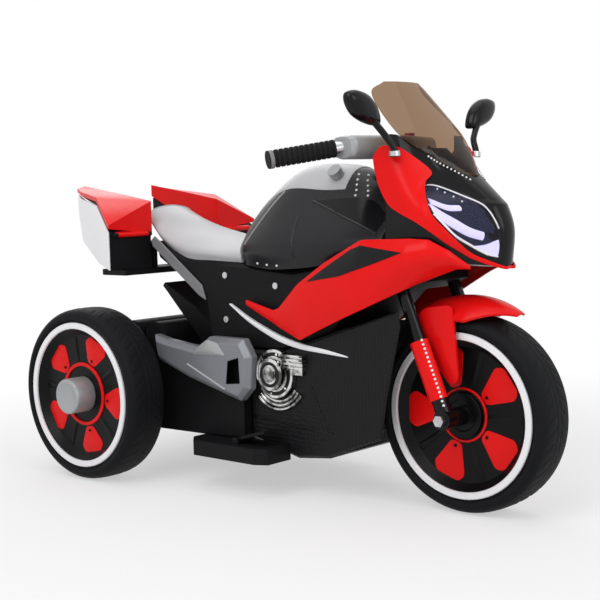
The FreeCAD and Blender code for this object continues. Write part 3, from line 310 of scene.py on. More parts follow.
class Finish:  # one material, or the world, and its nodes
    def __init__(self, name, kind="materials"):
        self.owner = getattr(bpy.data, kind).new(name)
        self.owner.use_nodes = True
        self.tree = self.owner.node_tree
        self.tree.nodes.clear()

    def node(self, kind, settings=None, sockets=None, output=0):
        made = self.tree.nodes.new(kind)
        for key, value in (settings or {}).items():
            setattr(made, key, value)
        for key, value in (sockets or {}).items():
            if isinstance(value, Wire):
                self.tree.links.new(value.socket, made.inputs[key])
            else:
                made.inputs[key].default_value = value
        return Wire(self, made.outputs[output]) if len(made.outputs) else None

    def point(self):  # where the surface is, in the piece's own metres
        return self.node("ShaderNodeTexCoord", output="Object")

    def noise(self, scale, detail=2.0, stretch=(1, 1, 1)):
        spot = self.node("ShaderNodeMapping", None, {"Vector": self.point(), "Scale": stretch})
        return self.node("ShaderNodeTexNoise", None, {"Vector": spot, "Scale": scale, "Detail": detail})

    def mix(self, share, first, second):  # sockets 6 and 7 are its two colours, and output 2 is their mix
        return self.node("ShaderNodeMix", {"data_type": "RGBA"},
                         {0: share, 6: (*first, 1), 7: (*second, 1)}, 2)

    def between(self, share, first, second):  # a mix of two shaders
        return self.node("ShaderNodeMixShader", None, {0: share, 1: first, 2: second})

    def steps(self, value, fromLow, fromHigh, toLow=0.0, toHigh=1.0):  # an S curve between two limits
        return self.node("ShaderNodeMapRange", {"interpolation_type": "SMOOTHSTEP"},
                         {0: value, 1: fromLow, 2: fromHigh, 3: toLow, 4: toHigh})

    def bump(self, height, distance, edge=0.0):  # distance and edge radius in millimetres
        sockets = {"Height": height, "Distance": distance * mm, "Strength": 1.0}
        if edge:
            sockets["Normal"] = self.node("ShaderNodeBevel", {"samples": 4}, {"Radius": edge * mm})
        return self.node("ShaderNodeBump", None, sockets)

    def output(self, shader, kind="ShaderNodeOutputMaterial"):
        self.node(kind, None, {"Surface": shader})
        return self.owner

    def surface(self, sockets):
        return self.output(self.node("ShaderNodeBsdfPrincipled", None, sockets))


def shade(colour, factor):
    return tuple(min(1.0, c * factor) for c in colour)


# Scales of clouds, pits and streaks are per metre; the gloss values are how far they move the roughness
plasticLook = {"clouds": 14.0, "cloudGloss": 0.16, "grainGloss": 0.08}
metalLook = {"smudgeAndReflection": (0.35, 0.62), "streakGloss": 0.2, "smudgeGloss": 0.12}
dimpleLook = {"clouds": 12.0, "cloudGloss": 0.2, "dark": 0.85, "light": 1.25, "narrow": 1.6, "stray": 0.25,
              "shine": 0.15}
rubberLook = {"dust": 18.0, "dustGloss": 0.2, "pits": 900.0, "pale": 1.7, "depth": 0.25, "edge": 1.2,
              "shine": 0.1}
clearLook = {"flow": 30.0, "flowGloss": 0.03, "dim": (0.9, 0.9, 0.92), "bright": (1, 1, 1), "rimPower": 4.0}
glowLook = {"cells": 160.0, "rough": 0.25, "cellGloss": 0.1, "dimColour": 0.92, "dimGlow": 0.85}


def plastic(name, colour, rough, grain, depth, mottle, edge, shine=0.5, **fixed):
    # moulded plastic: cloudy colour and gloss over a fine grain; grain, depth and edge are millimetres
    f = Finish(name)
    cloud = f.noise(plasticLook["clouds"], 4.0)
    fine = f.noise(1 / (grain * mm))
    gloss = rough + (cloud - 0.5) * plasticLook["cloudGloss"] + (fine - 0.5) * plasticLook["grainGloss"]
    sockets = {"Base Color": f.mix(cloud, shade(colour, 1 - mottle), shade(colour, 1 + mottle)),
               "Roughness": gloss, "Normal": f.bump(fine, depth, edge), "Specular IOR Level": shine}
    return f.surface(sockets | fixed)


def metal(name, colour, rough, streak, depth, stretch, edge=0.0, dark=0.9, smudgeAndReflectionScale=22.0):
    # bright metal with fine streaks drawn out along one way, smudged gloss, and colour darkened in patches
    # by dark
    f = Finish(name)
    lines = f.noise(streak, 3.0, stretch)
    smudgeAndReflection = f.noise(smudgeAndReflectionScale, 3.0)
    # the colour patches are mild smudges when dark is near 1, and painted dark reflections when it is low,
    # as on the engine chrome
    tone = f.steps(smudgeAndReflection, *metalLook["smudgeAndReflection"])
    gloss = rough + (lines - 0.5) * metalLook["streakGloss"] + (smudgeAndReflection - 0.5) * metalLook["smudgeGloss"]
    return f.surface({"Base Color": f.mix(tone, shade(colour, dark), colour), "Metallic": 1.0,
                      "Roughness": gloss, "Normal": f.bump(lines, depth, edge)})


def dimpled(name, colour, rough, pitch, depth):
    # black moulding with rows of small hollows: the square of the distance from each cell's middle, cut at 1
    f = Finish(name)
    look = dimpleLook
    cells = f.node("ShaderNodeTexVoronoi", {"feature": "F1"},
                   {"Vector": f.point(), "Scale": 1 / (pitch * mm), "Randomness": look["stray"]})
    cloud = f.noise(look["clouds"], 3.0)
    reach = cells * look["narrow"]
    hollow = reach < 1.0
    height = reach ** 2.0 * hollow + (1 - hollow)
    return f.surface({"Base Color": f.mix(cloud, shade(colour, look["dark"]), shade(colour, look["light"])),
                      "Roughness": rough + (cloud - 0.5) * look["cloudGloss"],
                      "Normal": f.bump(height, depth), "Specular IOR Level": look["shine"]})


def rubber(name, colour, rough):
    # tyre and grip rubber: dusty cloud over fine pits
    f = Finish(name)
    look = rubberLook
    dust = f.noise(look["dust"], 5.0)
    pits = f.noise(look["pits"], 3.0)
    return f.surface({"Base Color": f.mix(dust, colour, shade(colour, look["pale"])),
                      "Roughness": rough + (dust - 0.5) * look["dustGloss"],
                      "Normal": f.bump(pits, look["depth"], look["edge"]),
                      "Specular IOR Level": look["shine"]})


def clearPlastic(name, tint, rough, gloss, least):
    # see-through sheet: tinted light goes straight on; the gloss has flow marks and grows towards the edge
    f = Finish(name)
    look = clearLook
    flow = f.noise(look["flow"], 3.0)
    facing = f.node("ShaderNodeLayerWeight", None, {"Blend": 0.5}, "Facing")
    clear = f.node("ShaderNodeBsdfTransparent", None, {"Color": (*tint, 1)})
    shine = f.node("ShaderNodeBsdfPrincipled", None,
                   {"Base Color": f.mix(flow, look["dim"], look["bright"]), "Metallic": 1.0,
                    "Roughness": rough + flow * look["flowGloss"]})
    return f.output(f.between(facing ** look["rimPower"] * gloss + least, clear, shine))


def glowing(name, colour, strength):
    # light guide: frosted white that glows a little
    f = Finish(name)
    look = glowLook
    cells = f.noise(look["cells"])
    return f.surface({"Base Color": f.mix(cells, shade(colour, look["dimColour"]), colour),
                      "Roughness": look["rough"] + cells * look["cellGloss"],
                      "Emission Color": f.mix(cells, shade(colour, look["dimGlow"]), colour),
                      "Emission Strength": strength})


# Plastics: colour, roughness, grain, its depth, mottle, edge and shine
redGloss = plastic("redGloss", (0.78, 0.006, 0.006), 0.3, 1.6, 0.02, 0.04, 1.2, 0.12,
                   **{"Coat Weight": 0.04, "Coat Roughness": 0.08})
blackGrain = plastic("blackGrain", (0.006, 0.006, 0.007), 0.5, 0.9, 0.06, 0.2, 1.5, 0.12)
blackGloss = plastic("blackGloss", (0.004, 0.004, 0.005), 0.16, 2.0, 0.02, 0.2, 1.2, 0.2)
tankGrey = plastic("tankGrey", (0.011, 0.0113, 0.013), 0.28, 1.6, 0.02, 0.1, 1.2, 0.25)
paleGrey = plastic("paleGrey", (0.48, 0.48, 0.495), 0.42, 1.0, 0.05, 0.05, 1.5, 0.3)
midGrey = plastic("midGrey", (0.20, 0.20, 0.21), 0.4, 1.0, 0.05, 0.08, 1.5, 0.3)
swingGrey = plastic("swingGrey", (0.20, 0.21, 0.23), 0.34, 0.6, 0.02, 0.08, 1.5, Metallic=0.3)
silverPaint = plastic("silverPaint", (0.36, 0.37, 0.38), 0.36, 0.6, 0.02, 0.08, 1.5, Metallic=0.35)
whiteGloss = plastic("whiteGloss", (0.86, 0.86, 0.88), 0.3, 1.2, 0.02, 0.02, 1.0)
rimBlack = plastic("rimBlack", (0.004, 0.004, 0.0045), 0.34, 1.0, 0.04, 0.2, 1.0, 0.12)
bushWhite = plastic("bushWhite", (0.8, 0.8, 0.78), 0.4, 1.0, 0.03, 0.04, 0.5)
buttonRed = plastic("buttonRed", (0.6, 0.02, 0.02), 0.3, 1.0, 0.03, 0.06, 1.0)
lampNavy = plastic("lampNavy", (0.010, 0.012, 0.040), 0.2, 3.0, 0.02, 0.3, 0.0, 0.3)
bellyBlack = dimpled("bellyBlack", (0.007, 0.007, 0.008), 0.42, 7.5, 0.6)
# a dark of 0.12 makes the engine chrome's colour patches painted dark reflections
engineChrome = metal("engineChrome", (0.70, 0.70, 0.69), 0.14, 60.0, 0.02, (1, 1, 1), 1.5, 0.12, 48.0)
steel = metal("steel", (0.58, 0.58, 0.6), 0.3, 300.0, 0.02, (1, 0.05, 1), 0.8)
mirrorGlass = metal("mirrorGlass", (0.86, 0.88, 0.9), 0.06, 40.0, 0.002, (1, 1, 1))
tyreBlack = rubber("tyreBlack", (0.005, 0.0052, 0.006), 0.6)
gripBlack = rubber("gripBlack", (0.010, 0.010, 0.010), 0.7)
smokedClear = clearPlastic("smokedClear", (0.54, 0.42, 0.32), 0.03, 0.25, 0.02)
lensClear = clearPlastic("lensClear", (0.97, 0.97, 0.98), 0.01, 0.3, 0.003)
lampWhite = glowing("lampWhite", (0.70, 0.66, 0.98), 0.3)
print("finishes made")

meshSize = {"merge": 2e-6, "sliver": 1e-7, "flatAngle": 0.6, "bevelSteps": 3}    # metres, degrees


def makePiece(name, shape, material, replaces=(), bevel=0.0, sharp=40, body="chassis"):
    mesh = bpy.data.meshes.new(name)
    points, faces = shape
    polygons = [face for group in faces for face in group.tolist()]
    mesh.from_pydata(((points + (0, 0, axleHeight)) * mm).tolist(), [], polygons)
    closeMesh(mesh)
    dress(mesh, name, body, material, replaces, bevel, sharp)


def closeMesh(mesh, flatAngle=0.0):
    # doubles merged, flat triangles joined if asked, faces turned outward
    bm = bmesh.new()
    bm.from_mesh(mesh)
    bmesh.ops.remove_doubles(bm, verts=bm.verts, dist=meshSize["merge"])
    bmesh.ops.dissolve_degenerate(bm, edges=bm.edges, dist=meshSize["sliver"])
    if flatAngle:
        bmesh.ops.dissolve_limit(bm, angle_limit=math.radians(flatAngle), verts=bm.verts, edges=bm.edges)
    bmesh.ops.recalc_face_normals(bm, faces=bm.faces)
    bm.to_mesh(mesh)
    bm.free()


def dress(mesh, name, body, material, replaces, bevel, sharp):
    mesh.polygons.foreach_set("use_smooth", np.ones(len(mesh.polygons), bool))
    piece = bpy.data.objects.new(name, mesh)
    bpy.context.scene.collection.objects.link(piece)
    mesh.materials.clear()
    mesh.materials.append(material)
    if bevel:
        rounding = piece.modifiers.new("edges", "BEVEL")
        rounding.width = bevel * mm
        rounding.segments = meshSize["bevelSteps"]
        rounding.limit_method = "ANGLE"
        rounding.angle_limit = math.radians(sharp)
        rounding.harden_normals = True
    else:
        mesh.set_sharp_from_angle(angle=math.radians(sharp))
    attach(piece, body)
    if replaces:
        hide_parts(*replaces)


def softened(node, material, bevel, sharp=24):
    # a copy of a solid with its flat triangles joined and its edges rounded
    mesh = cadNodes[node].data.copy()
    mesh.name = node + "_skin"
    for name in ("custom_normal", "sharp_face", "sharp_edge"):
        if name in mesh.attributes:
            mesh.attributes.remove(mesh.attributes[name])
    closeMesh(mesh, meshSize["flatAngle"])
    dress(mesh, node + "_skin", bodyOf[node], material, (node,), bevel, sharp)


# Wheels: radii, and offsets outward from the middle of the wheel

tyreSize = {"around": 480, "across": 76, "sipes": 44, "slant": 0.03, "depth": 0.8, "sipeEdge": (0.68, 0.86),
            "sipeFrom": (7, 9), "sipeTo": (29, 33), "grooves": [(5.5, 1.4, 1.0), (37.5, 0.9, 0.45)],
            "half": [(142, 38), (146.5, 42.1), (153, 42.4), (159.5, 37.8), (163.2, 29), (164.8, 15),
                     (165, 0)]}
rimSize = {"edge": 141.8, "face": 38.0, "wall": 126.0, "foot": 114.0, "web": 24.0, "hub": 32.0, "bore": 6.05,
           "skin": 4.0, "innerWall": 127.0, "innerFoot": 116.0, "boss": 14.0, "dip": 2.0, "lip": 12.0,
           "slope": 1.0, "round": 1.2, "steps": 192}
frontTrim = {"hub": 38.0, "ring": 46.0, "wide": 4.0, "first": 36.5}
rearTrim = {"hub": 26.0, "ring": 61.0, "wide": 7.0, "first": 6.0}
insertSize = {"count": 5, "gap": 2.0, "outer": 112.5, "tail": 10.0, "belly": 32.0, "shoulder": 14.0,
              "tip": 23.0, "round": 7.0, "high": 0.9, "low": -0.5, "rise": 1.4}
spokeSize = {"from": 1.0, "to": 112.0, "halfIn": 3.5, "halfOut": 6.5, "round": 4.0, "high": 0.8, "low": -0.5,
             "rise": 2.0}
studSize = {"half": 2.6, "round": 2.4, "at": 8.0, "high": 2.95, "low": 0.5}
hubRing = {"foot": 23.6, "wall": 26.2, "top": 27.0, "chamfer": 0.8}
paleRing = {"inner": 127.0, "outer": 139.0, "foot": 37.4, "wall": 40.8, "top": 42.3, "chamfer": 1.4}
capSize = {"radius": 34.0, "reach": 67.0, "foot": 24.2, "round": 4.0, "bevel": 1.2, "rim": 7.0, "slope": 1.0,
           "dish": 0.8}


def tyre(x, y):
    # profile turned about the axle, less slanted sipes and ring grooves cut into the tread
    half = np.array(tyreSize["half"], float)
    radius, offset = through(np.concatenate([half, half[-2::-1] * (1, -1)]), tyreSize["across"]).T
    angle = circle(tyreSize["around"])[:, None]
    wide = np.abs(offset)
    phase = angle * tyreSize["sipes"] / (2 * math.pi) + tyreSize["slant"] * wide
    saw = np.abs(phase % 1 - 0.5) * 2
    sipe = smooth(saw, *tyreSize["sipeEdge"]) * smooth(wide, *tyreSize["sipeFrom"])
    sipe = sipe * (1 - smooth(wide, *tyreSize["sipeTo"]))
    groove = sum(share * np.exp(-((wide - at) / half) ** 2) for at, half, share in tyreSize["grooves"])
    reach = radius - tyreSize["depth"] * np.maximum(sipe, groove)
    points = spread(x + reach * np.cos(angle), y + offset, reach * np.sin(angle))
    return points.reshape(-1, 3), [gridFaces(len(angle), len(radius), True, True)]


def onWeb(x, y, side, turn):
    # surface function of the wheel disc: (radial, across) turned about the axle, height counted from the web
    c, s = math.cos(turn), math.sin(turn)

    def place(flat, height):
        radial, across = flat[..., 0], flat[..., 1]
        return spread(x + radial * c - across * s, y + side * (rimSize["web"] + height),
                      radial * s + across * c)
    return place


def insertTurns(first):
    return [-math.radians(first + 360 * i / insertSize["count"]) for i in range(insertSize["count"])]


def inserts(x, y, side, trim):
    # domed teardrop plates that widen outward, and a ring round the hub
    size = insertSize
    high = size["outer"]
    half = [(trim["ring"] + size["gap"], size["tail"]), (high - size["shoulder"], size["belly"]),
            (high, size["tip"])]
    outline = rounded(half + [(r, -w) for r, w in reversed(half)], size["round"], steps=7)
    plates = [plateOn(outline, onWeb(x, y, side, turn), size["high"], size["low"], rings=7,
                      crown=size["rise"]) for turn in insertTurns(trim["first"])]
    ring = ringProfile(trim["ring"] - trim["wide"], trim["ring"], **hubRing)
    return merge(*plates, lathe(ring, (x, y, 0), side, steps=128))


def spokes(x, y, side, trim):
    # a ridge down the middle of each spoke, and a dark stud at the tail of each insert
    ridge, stud = spokeSize, studSize
    start, step = trim["ring"] + ridge["from"], math.pi / insertSize["count"]
    edge = [(start, -ridge["halfIn"]), (ridge["to"], -ridge["halfOut"])]
    ridgeLine = rounded(edge + [(r, -w) for r, w in reversed(edge)], ridge["round"])
    square = np.array([(-1, -1), (1, -1), (1, 1), (-1, 1)]) * stud["half"]
    studLine = rounded(square, stud["round"]) + (trim["ring"] + insertSize["gap"] + stud["at"], 0)
    made = []
    for turn in insertTurns(trim["first"]):
        onSpoke, onInsert = onWeb(x, y, side, turn + step), onWeb(x, y, side, turn)
        made += [plateOn(ridgeLine, onSpoke, ridge["high"], ridge["low"], rings=6, crown=ridge["rise"]),
                 plateOn(studLine, onInsert, stud["high"], stud["low"], rings=3)]
    return merge(*made)


def frontRim():
    r = rimSize
    hub, top, floor = frontTrim["hub"], r["hub"], r["hub"] - r["dip"]
    half = [(r["bore"], top), (r["boss"], top), (r["boss"] + r["slope"], floor), (hub - r["lip"], floor),
            (hub - r["lip"] + r["slope"], top), (hub, top), (hub, r["web"]), (r["foot"], r["web"]),
            (r["wall"], r["face"]), (r["edge"], r["face"])]
    profile = rounded(half + [(radius, -offset) for radius, offset in reversed(half)], r["round"], steps=4)
    rim = lathe(profile, (frontX, 0, 0), 1, r["steps"])
    return merge(rim, bothSides(spokes(frontX, 0, -1, frontTrim)))


def rearRim(side):
    r = rimSize
    hub, face = rearTrim["hub"], r["face"]
    inner, lip, back = r["web"] - r["skin"], r["edge"] - r["skin"], face - r["skin"]
    profile = [(r["bore"], r["hub"]), (hub, r["hub"]), (hub, r["web"]), (r["foot"], r["web"]),
               (r["wall"], face), (r["edge"], face), (r["edge"], -face), (lip, -face), (lip, back),
               (r["innerWall"], back), (r["innerFoot"], inner), (hub, inner), (hub, -face),
               (r["bore"], -face)]
    y = side * rearY
    rim = lathe(rounded(profile, r["round"], steps=4), (rearX, y, 0), side, r["steps"])
    return merge(rim, spokes(rearX, y, side, rearTrim))


def lightRing(x, y, side):
    return lathe(ringProfile(**paleRing), (x, y, 0), side, rimSize["steps"])


def hubCap(side):
    c = capSize
    radius, reach = c["radius"], c["reach"]
    dish = reach - c["dish"]
    profile = [(0, c["foot"]), (radius, c["foot"]), (radius, reach - c["round"]),
               (radius - c["bevel"], reach - c["bevel"]), (radius - c["round"], reach),
               (radius - c["rim"], reach), (radius - c["rim"] - c["slope"], dish), (0, dish)]
    return lathe(profile, (rearX, side * rearY, 0), side, steps=96)


makePiece("front_tyre_tread", tyre(frontX, 0), tyreBlack, ["front_tyre"], body="front_wheel")
makePiece("front_rim_disc", frontRim(), rimBlack, ["front_rim"], body="front_wheel")
makePiece("front_rim_inserts", bothSides(inserts(frontX, 0, -1, frontTrim)), redGloss,
          ["front_wheel_trim"], body="front_wheel")
makePiece("front_light_rings", bothSides(lightRing(frontX, 0, -1)), whiteGloss,
          body="front_wheel")
for side, word in ((-1, "right"), (1, "left")):
    body = "rear_wheel_" + word
    y = side * rearY
    makePiece("rear_tyre_tread_" + word, tyre(rearX, y), tyreBlack, ["rear_tyre_" + word],
              body=body)
    makePiece("rear_rim_disc_" + word, rearRim(side), rimBlack, ["rear_rim_" + word], body=body)
    makePiece("rear_rim_inserts_" + word, inserts(rearX, y, side, rearTrim), redGloss,
              ["rear_wheel_trim_" + word], body=body)
    makePiece("rear_light_ring_" + word, lightRing(rearX, y, side), whiteGloss, body=body)
    makePiece("rear_hub_cap_" + word, hubCap(side), silverPaint, body=body)
print("wheels made")

# Saddle and tank: each station has a place along the bike and (half width, height) points from foot to top

seatSize = {"rows": 64, "round": 41, "endStep": 5.0, "endShare": 0.9, "stations": [
    (rearX + 4, [(58, 331), (60, 339), (46, 351), (14, 357)]),
    (along(-394), [(82, 284), (86, 297), (58, 314), (18, 330)]),
    (along(-292), [(94, 256.6), (98, 276), (62, 297), (20, 303)]),
    (along(-190), [(94, 252.2), (99, 268), (64, 281), (22, 286)]),
    (along(-105) + 7, [(86, 248.5), (88, 262), (60, 273), (22, 277)])]}
tankSize = {"rows": 72, "round": 57, "endStep": 2.0, "endShare": 0.95, "stations": [
    (along(-105) + 2, [(84, 247.8), (92, 274.6), (72, 295.8), (24, 303.5)]),
    (along(-61), [(102, 245.3), (108, 283), (68, 341), (25, 357)]),
    (along(27), [(110, 239.8), (120, 287), (70, 373), (26, 411)]),
    (along(150), [(112, 245.3), (122, 290), (68, 370), (26, 416)]),
    (along(253), [(108, 257.8), (116, 294), (58, 368), (22, 399)]),
    (frontX - 104, [(98, 275.3), (102, 296), (48, 334), (16, 346)])]}
# The top panel starts at a share of the arch and ends at a place along the bike
tankTop = {"lift": 1.4, "depth": 3.0, "end": 152.0, "firstRow": 2, "from": 2.15 / 7}


def arch(size):
    # rows along the bike of a curve from the right foot over the top to the left foot
    sections = []
    for x, half in size["stations"]:
        right = [(x, -y, z) for y, z in half]
        sections.append(right + [(x, y, z) for y, z in reversed(half)])
    return patch(np.array(sections), size["rows"], size["round"])


def roundedEnds(rings, size):
    # each end ring drawn in towards its middle, with the full ring a step further in
    small = [ring.mean(0) + (ring - ring.mean(0)) * size["endShare"] for ring in (rings[0], rings[-1])]
    body = rings.copy()
    body[0, :, 0] += size["endStep"]
    body[-1, :, 0] -= size["endStep"]
    return np.concatenate([small[0][None], body, small[1][None]])


def tankTopPanel():
    # the middle of the arch over the tank, as far as the dash, between a lifted and a sunk copy
    edge = round(tankTop["from"] * (tankSize["round"] - 1))
    rows = int((tankRings[:, 0, 0] < tankTop["end"]).sum())
    skin = tankRings[tankTop["firstRow"]:rows, edge:-edge]
    return closedSheet(skin + (0, 0, tankTop["lift"]), skin - (0, 0, tankTop["depth"]))


tankRings = arch(tankSize)
makePiece("seat_moulding", closedLoft(roundedEnds(arch(seatSize), seatSize)), paleGrey,
          ["seat"], bevel=3.0, sharp=50)
makePiece("tank_moulding", closedLoft(roundedEnds(tankRings, tankSize)), tankGrey,
          ["tank_cover"], bevel=2.0, sharp=50)
makePiece("tank_top_skin", tankTopPanel(), paleGrey, ["tank_top_panel"], bevel=1.2, sharp=50)


def onTank(flat, height):
    # surface function of the tank's right side: (along, up), as wide as the rings nearest each place
    x, z = flat[..., 0], flat[..., 1]
    half = tankRings[:, :tankSize["round"] // 2 + 1]
    return spread(x, readRows(half, half[:, 0, 0], x, z, 1) - height, z)


# Lines and dots on the tank's right side as (along, up), with each band's half width, height and crown
tankBands = {"crease": ([(92, 360), (148, 341), (205, 320), (250, 302)], 1.6, 0.5, 1.6),
             "fold": ([(76, 334), (79, 300), (84, 262)], 2.2, 0.2, 1.2),
             "slope": ([(18, 378), (-6, 346), (-28, 312), (-48, 284)], 3.0, 0.5, 1.2)}
tankWedge = {"low": [(98, 358), (150, 340), (205, 320), (248, 303)],
             "high": [(104, 361), (150, 363), (205, 360), (248, 331)], "proud": 0.7, "sunk": -1.0}
dashDots = {"spots": [(162, 403), (178, 401), (166, 394), (184, 392), (170, 385), (190, 383), (174, 376),
                      (195, 374), (177, 367), (199, 366)],
            "way": (0.35, -0.8, 0.5), "radius": 2.5, "height": 1.8}
ledgeDots = {"spots": [(-14, 250), (11, 248), (36, 247)], "way": (0, -1, 0), "radius": 2.2, "height": 1.6}
dotLift = 0.4


def bandOn(name):
    # a narrow raised band on the tank, to both sides of a line
    points, half, high, crown = tankBands[name]
    line = np.array(points, float)
    way = unit(np.gradient(line, axis=0))
    side = np.stack([-way[:, 1], way[:, 0]], -1) * half
    return ribbonOn(line - side, line + side, onTank, high, tankWedge["sunk"], crown, steps=36)


def dotsOn(dots):
    spots = onTank(np.array(dots["spots"], float), dotLift)
    return beads(spots, dots["way"], dots["radius"], dots["height"])


wedge = ribbonOn(tankWedge["low"], tankWedge["high"], onTank, tankWedge["proud"], tankWedge["sunk"],
                 steps=44, wide=15)
makePiece("tank_wedges", bothSides(wedge), blackGloss)
makePiece("tank_creases", bothSides(merge(bandOn("crease"), bandOn("fold"))), tankGrey)
makePiece("tank_slope_bands", bothSides(bandOn("slope")), midGrey)
makePiece("tank_dots", bothSides(merge(dotsOn(dashDots), dotsOn(ledgeDots))), whiteGloss)
print("saddle and tank made")

# Side fairings, their windows and the pale strips below them
# A station is a place along the bike, then the width and height of the low, middle and high edge

fairing = {"wall": 4.0, "rows": 136, "across": 25, "samples": 200, "middle": (0.25, 0.75), "stations": [
    (along(-60), 112, 174, 113, 178, 112, 183), (along(38), 118, 145, 121, 156, 119, 168),
    (along(60), 120, 138, 124, 155, 121, 173), (along(128), 124, 119, 132, 170, 127, 216),
    (along(215), 128, 146, 138, 205, 128, 255), (along(321), 128, 178, 140, 240, 124, 294),
    (frontX - 40, 98, 221, 130, 264, 116, 296), (frontX - 8, 82, 234, 115, 264, 108, 294),
    (frontX + 22, 74, 245, 94, 260, 93, 276), (frontX + 42, 62, 245, 65, 247, 64, 250)]}
windowEdge = {"lower": [(along(163), 222), (along(272), 234), (along(375), 257), (frontX - 44, 274)],
              "upper": [(along(163), 222), (along(296), 278), (along(324), 285), (frontX - 44, 274)],
              "rows": 80, "across": 15, "proud": 0.9, "sunk": 1.5}
trimLine = {"points": [(along(-125), 173.5), (along(-71), 150.5), (along(-14), 131.5), (along(46), 115.5),
                       (along(110), 105.5), (along(189), 99.5), (along(256), 93.5)],
            "rows": 60, "across": 9, "tip": 0.8, "thick": 4.6, "power": 0.7, "crown": 1.2, "inner": 100.6,
            "outer": 108.0}
fairingTable = np.array(fairing["stations"])


def fairingEdges(x):
    # low, middle and high edge of the panel at x: heights run straight between stations, widths curve
    steps = np.linspace(0, len(fairingTable) - 1, fairing["samples"])
    curved = through(fairingTable, fairing["samples"])
    level = straight(fairingTable, fairing["samples"])
    spot = np.interp(x, level[:, 0], steps)
    return [np.interp(spot, steps, (curved if k % 2 else level)[:, k]) for k in range(1, 7)]


def fairingY(x, z):
    # parabola in height through the low, middle and high edge
    lowY, lowZ, midY, midZ, highY, highZ = fairingEdges(x)
    q = np.clip((z - lowZ) / (highZ - lowZ), 0, 1)
    m = np.clip((midZ - lowZ) / (highZ - lowZ), *fairing["middle"])
    bulge = (midY - lowY - (highY - lowY) * m) / (m * (m - 1))
    return lowY + (highY - lowY) * q + bulge * q * (q - 1)


def fairingSheet(xs, low, high, across, proud, wall):
    # the fairing's surface between two heights, moved outward by proud and given a wall
    z = low + (high - low) * np.linspace(0, 1, across)
    outer = spread(xs, -fairingY(xs + 0 * z, z) - proud, z)
    return closedSheet(outer, outer + (0, wall, 0))


def fairingPanel():
    xs = straight(fairingTable[:, 0], fairing["rows"])[:, None]
    edges = fairingEdges(xs)
    return fairingSheet(xs, edges[1], edges[5], fairing["across"], 0.0, fairing["wall"])


def fairingWindow():
    # wedge between its two edges, standing a little proud of the panel
    lower, upper = np.array(windowEdge["lower"]), np.array(windowEdge["upper"])
    xs = np.linspace(lower[0, 0], lower[-1, 0], windowEdge["rows"])[:, None]
    return fairingSheet(xs, np.interp(xs, *lower.T), np.interp(xs, *upper.T), windowEdge["across"],
                        windowEdge["proud"], windowEdge["proud"] + windowEdge["sunk"])


def trimStrip():
    # leaf along a curve, thickest in the middle
    t = trimLine
    line = through(t["points"], t["rows"])
    half = t["tip"] + t["thick"] * np.sin(math.pi * np.linspace(0, 1, t["rows"])) ** t["power"]
    across = np.linspace(-1, 1, t["across"])
    outer = spread(line[:, :1], t["crown"] * across ** 2 - t["outer"], line[:, 1:] + half[:, None] * across)
    inner = outer.copy()
    inner[..., 1] = -t["inner"]
    return closedSheet(outer, inner)


panel = fairingPanel()
for shape, word in ((panel, "right"), (mirrored(panel), "left")):
    makePiece("side_fairing_skin_" + word, shape, redGloss, ["side_fairing_" + word],
              bevel=1.6, sharp=35)
makePiece("fairing_window_wedges", bothSides(fairingWindow()), blackGloss,
          ["fairing_windows"], bevel=0.6, sharp=35)
makePiece("fairing_trim_leaves", bothSides(trimStrip()), whiteGloss, ["fairing_trims"],
          bevel=0.8, sharp=35)
print("fairings made")

# Nose: headlight housing, lenses, cowl and windscreen, with places ahead of the front axle
# A row of the housing: half widths at the face and the brow, then (ahead, up) points from the chin round

noseRows = [(16, 16, [(72, 247), (77, 304), (66, 342), (54, 356), (10, 396), (-60, 396), (-60, 247)]),
            (42, 42, [(41, 251), (48, 304), (37, 342), (12, 368), (-17, 411), (-63, 412), (-60, 249)]),
            (60, 60, [(23, 254), (28, 304), (17, 342), (-18, 378), (-34, 426), (-66, 428), (-60, 251)]),
            (80, 77, [(2, 258), (6, 304), (-5, 342), (-42, 381), (-58, 447), (-80, 449), (-60, 256)]),
            (100, 92, [(-34, 262), (-24, 318), (-29, 342), (-48, 372), (-76, 464), (-92, 466), (-100, 285)])]
noseSize = {"face": 65, "across": 91, "recess": 7.0, "recessEdge": (0.5, 3.5)}
lensShape = {"outline": [(18, 259), (20, 310), (28, 346), (42, 367), (62, 383), (79, 381), (88, 357),
                         (87, 330), (67, 293), (48, 277), (30, 263)],
             "round": 5.0, "high": 0.7, "low": -0.8, "rings": 12}
bowlShape = {"share": 0.97, "move": (1.5, 9.5), "high": -6.2, "low": -8.0}
# Parts of a lamp: lower edge and upper edge as (across, up), then height and crown
lampGuides = [([(87, 340), (80, 325), (67, 310), (52, 297), (37, 290)],
               [(83, 351), (75, 337), (63, 324), (50, 311), (36, 303)], -3.4, 1.6),
              ([(81, 350), (68, 339), (54, 338)], [(78, 360), (67, 349), (53, 347)], -4.5, 2.0),
              ([(44, 277), (31, 267), (20, 262)], [(45, 281), (33, 283), (20, 291)], -3.6, 1.0)]
guideDeep = 0.5                                      # how far the guides go into the floor of the recess
lampRim = {"points": [(86, 334), (76, 312), (66, 297), (48, 281), (31, 267)], "steps": 40, "height": -2.4,
           "radius": 2.2}
lampEdge = {"points": [(21, 308), (29, 344), (43, 364), (62, 380), (77, 378), (86, 357), (84, 333),
                       (66, 297), (48, 281), (31, 267), (20.5, 263)],
            "steps": 90, "height": -2.6, "radius": 1.4}
lampDots = {"points": [(60, 374), (55, 368), (50, 361), (46, 353)], "height": -5.6,
            "way": (0.67, -0.74, 0.1), "radius": 1.8, "tall": 1.6}
studRow = {"points": [(-36, 62, 426), (-23, 48, 414), (-4, 34, 401), (16, 20, 387)], "count": 13,
           "way": (0.6, -0.68, 0.42), "out": 2.6, "radius": 1.7, "tall": 1.3}
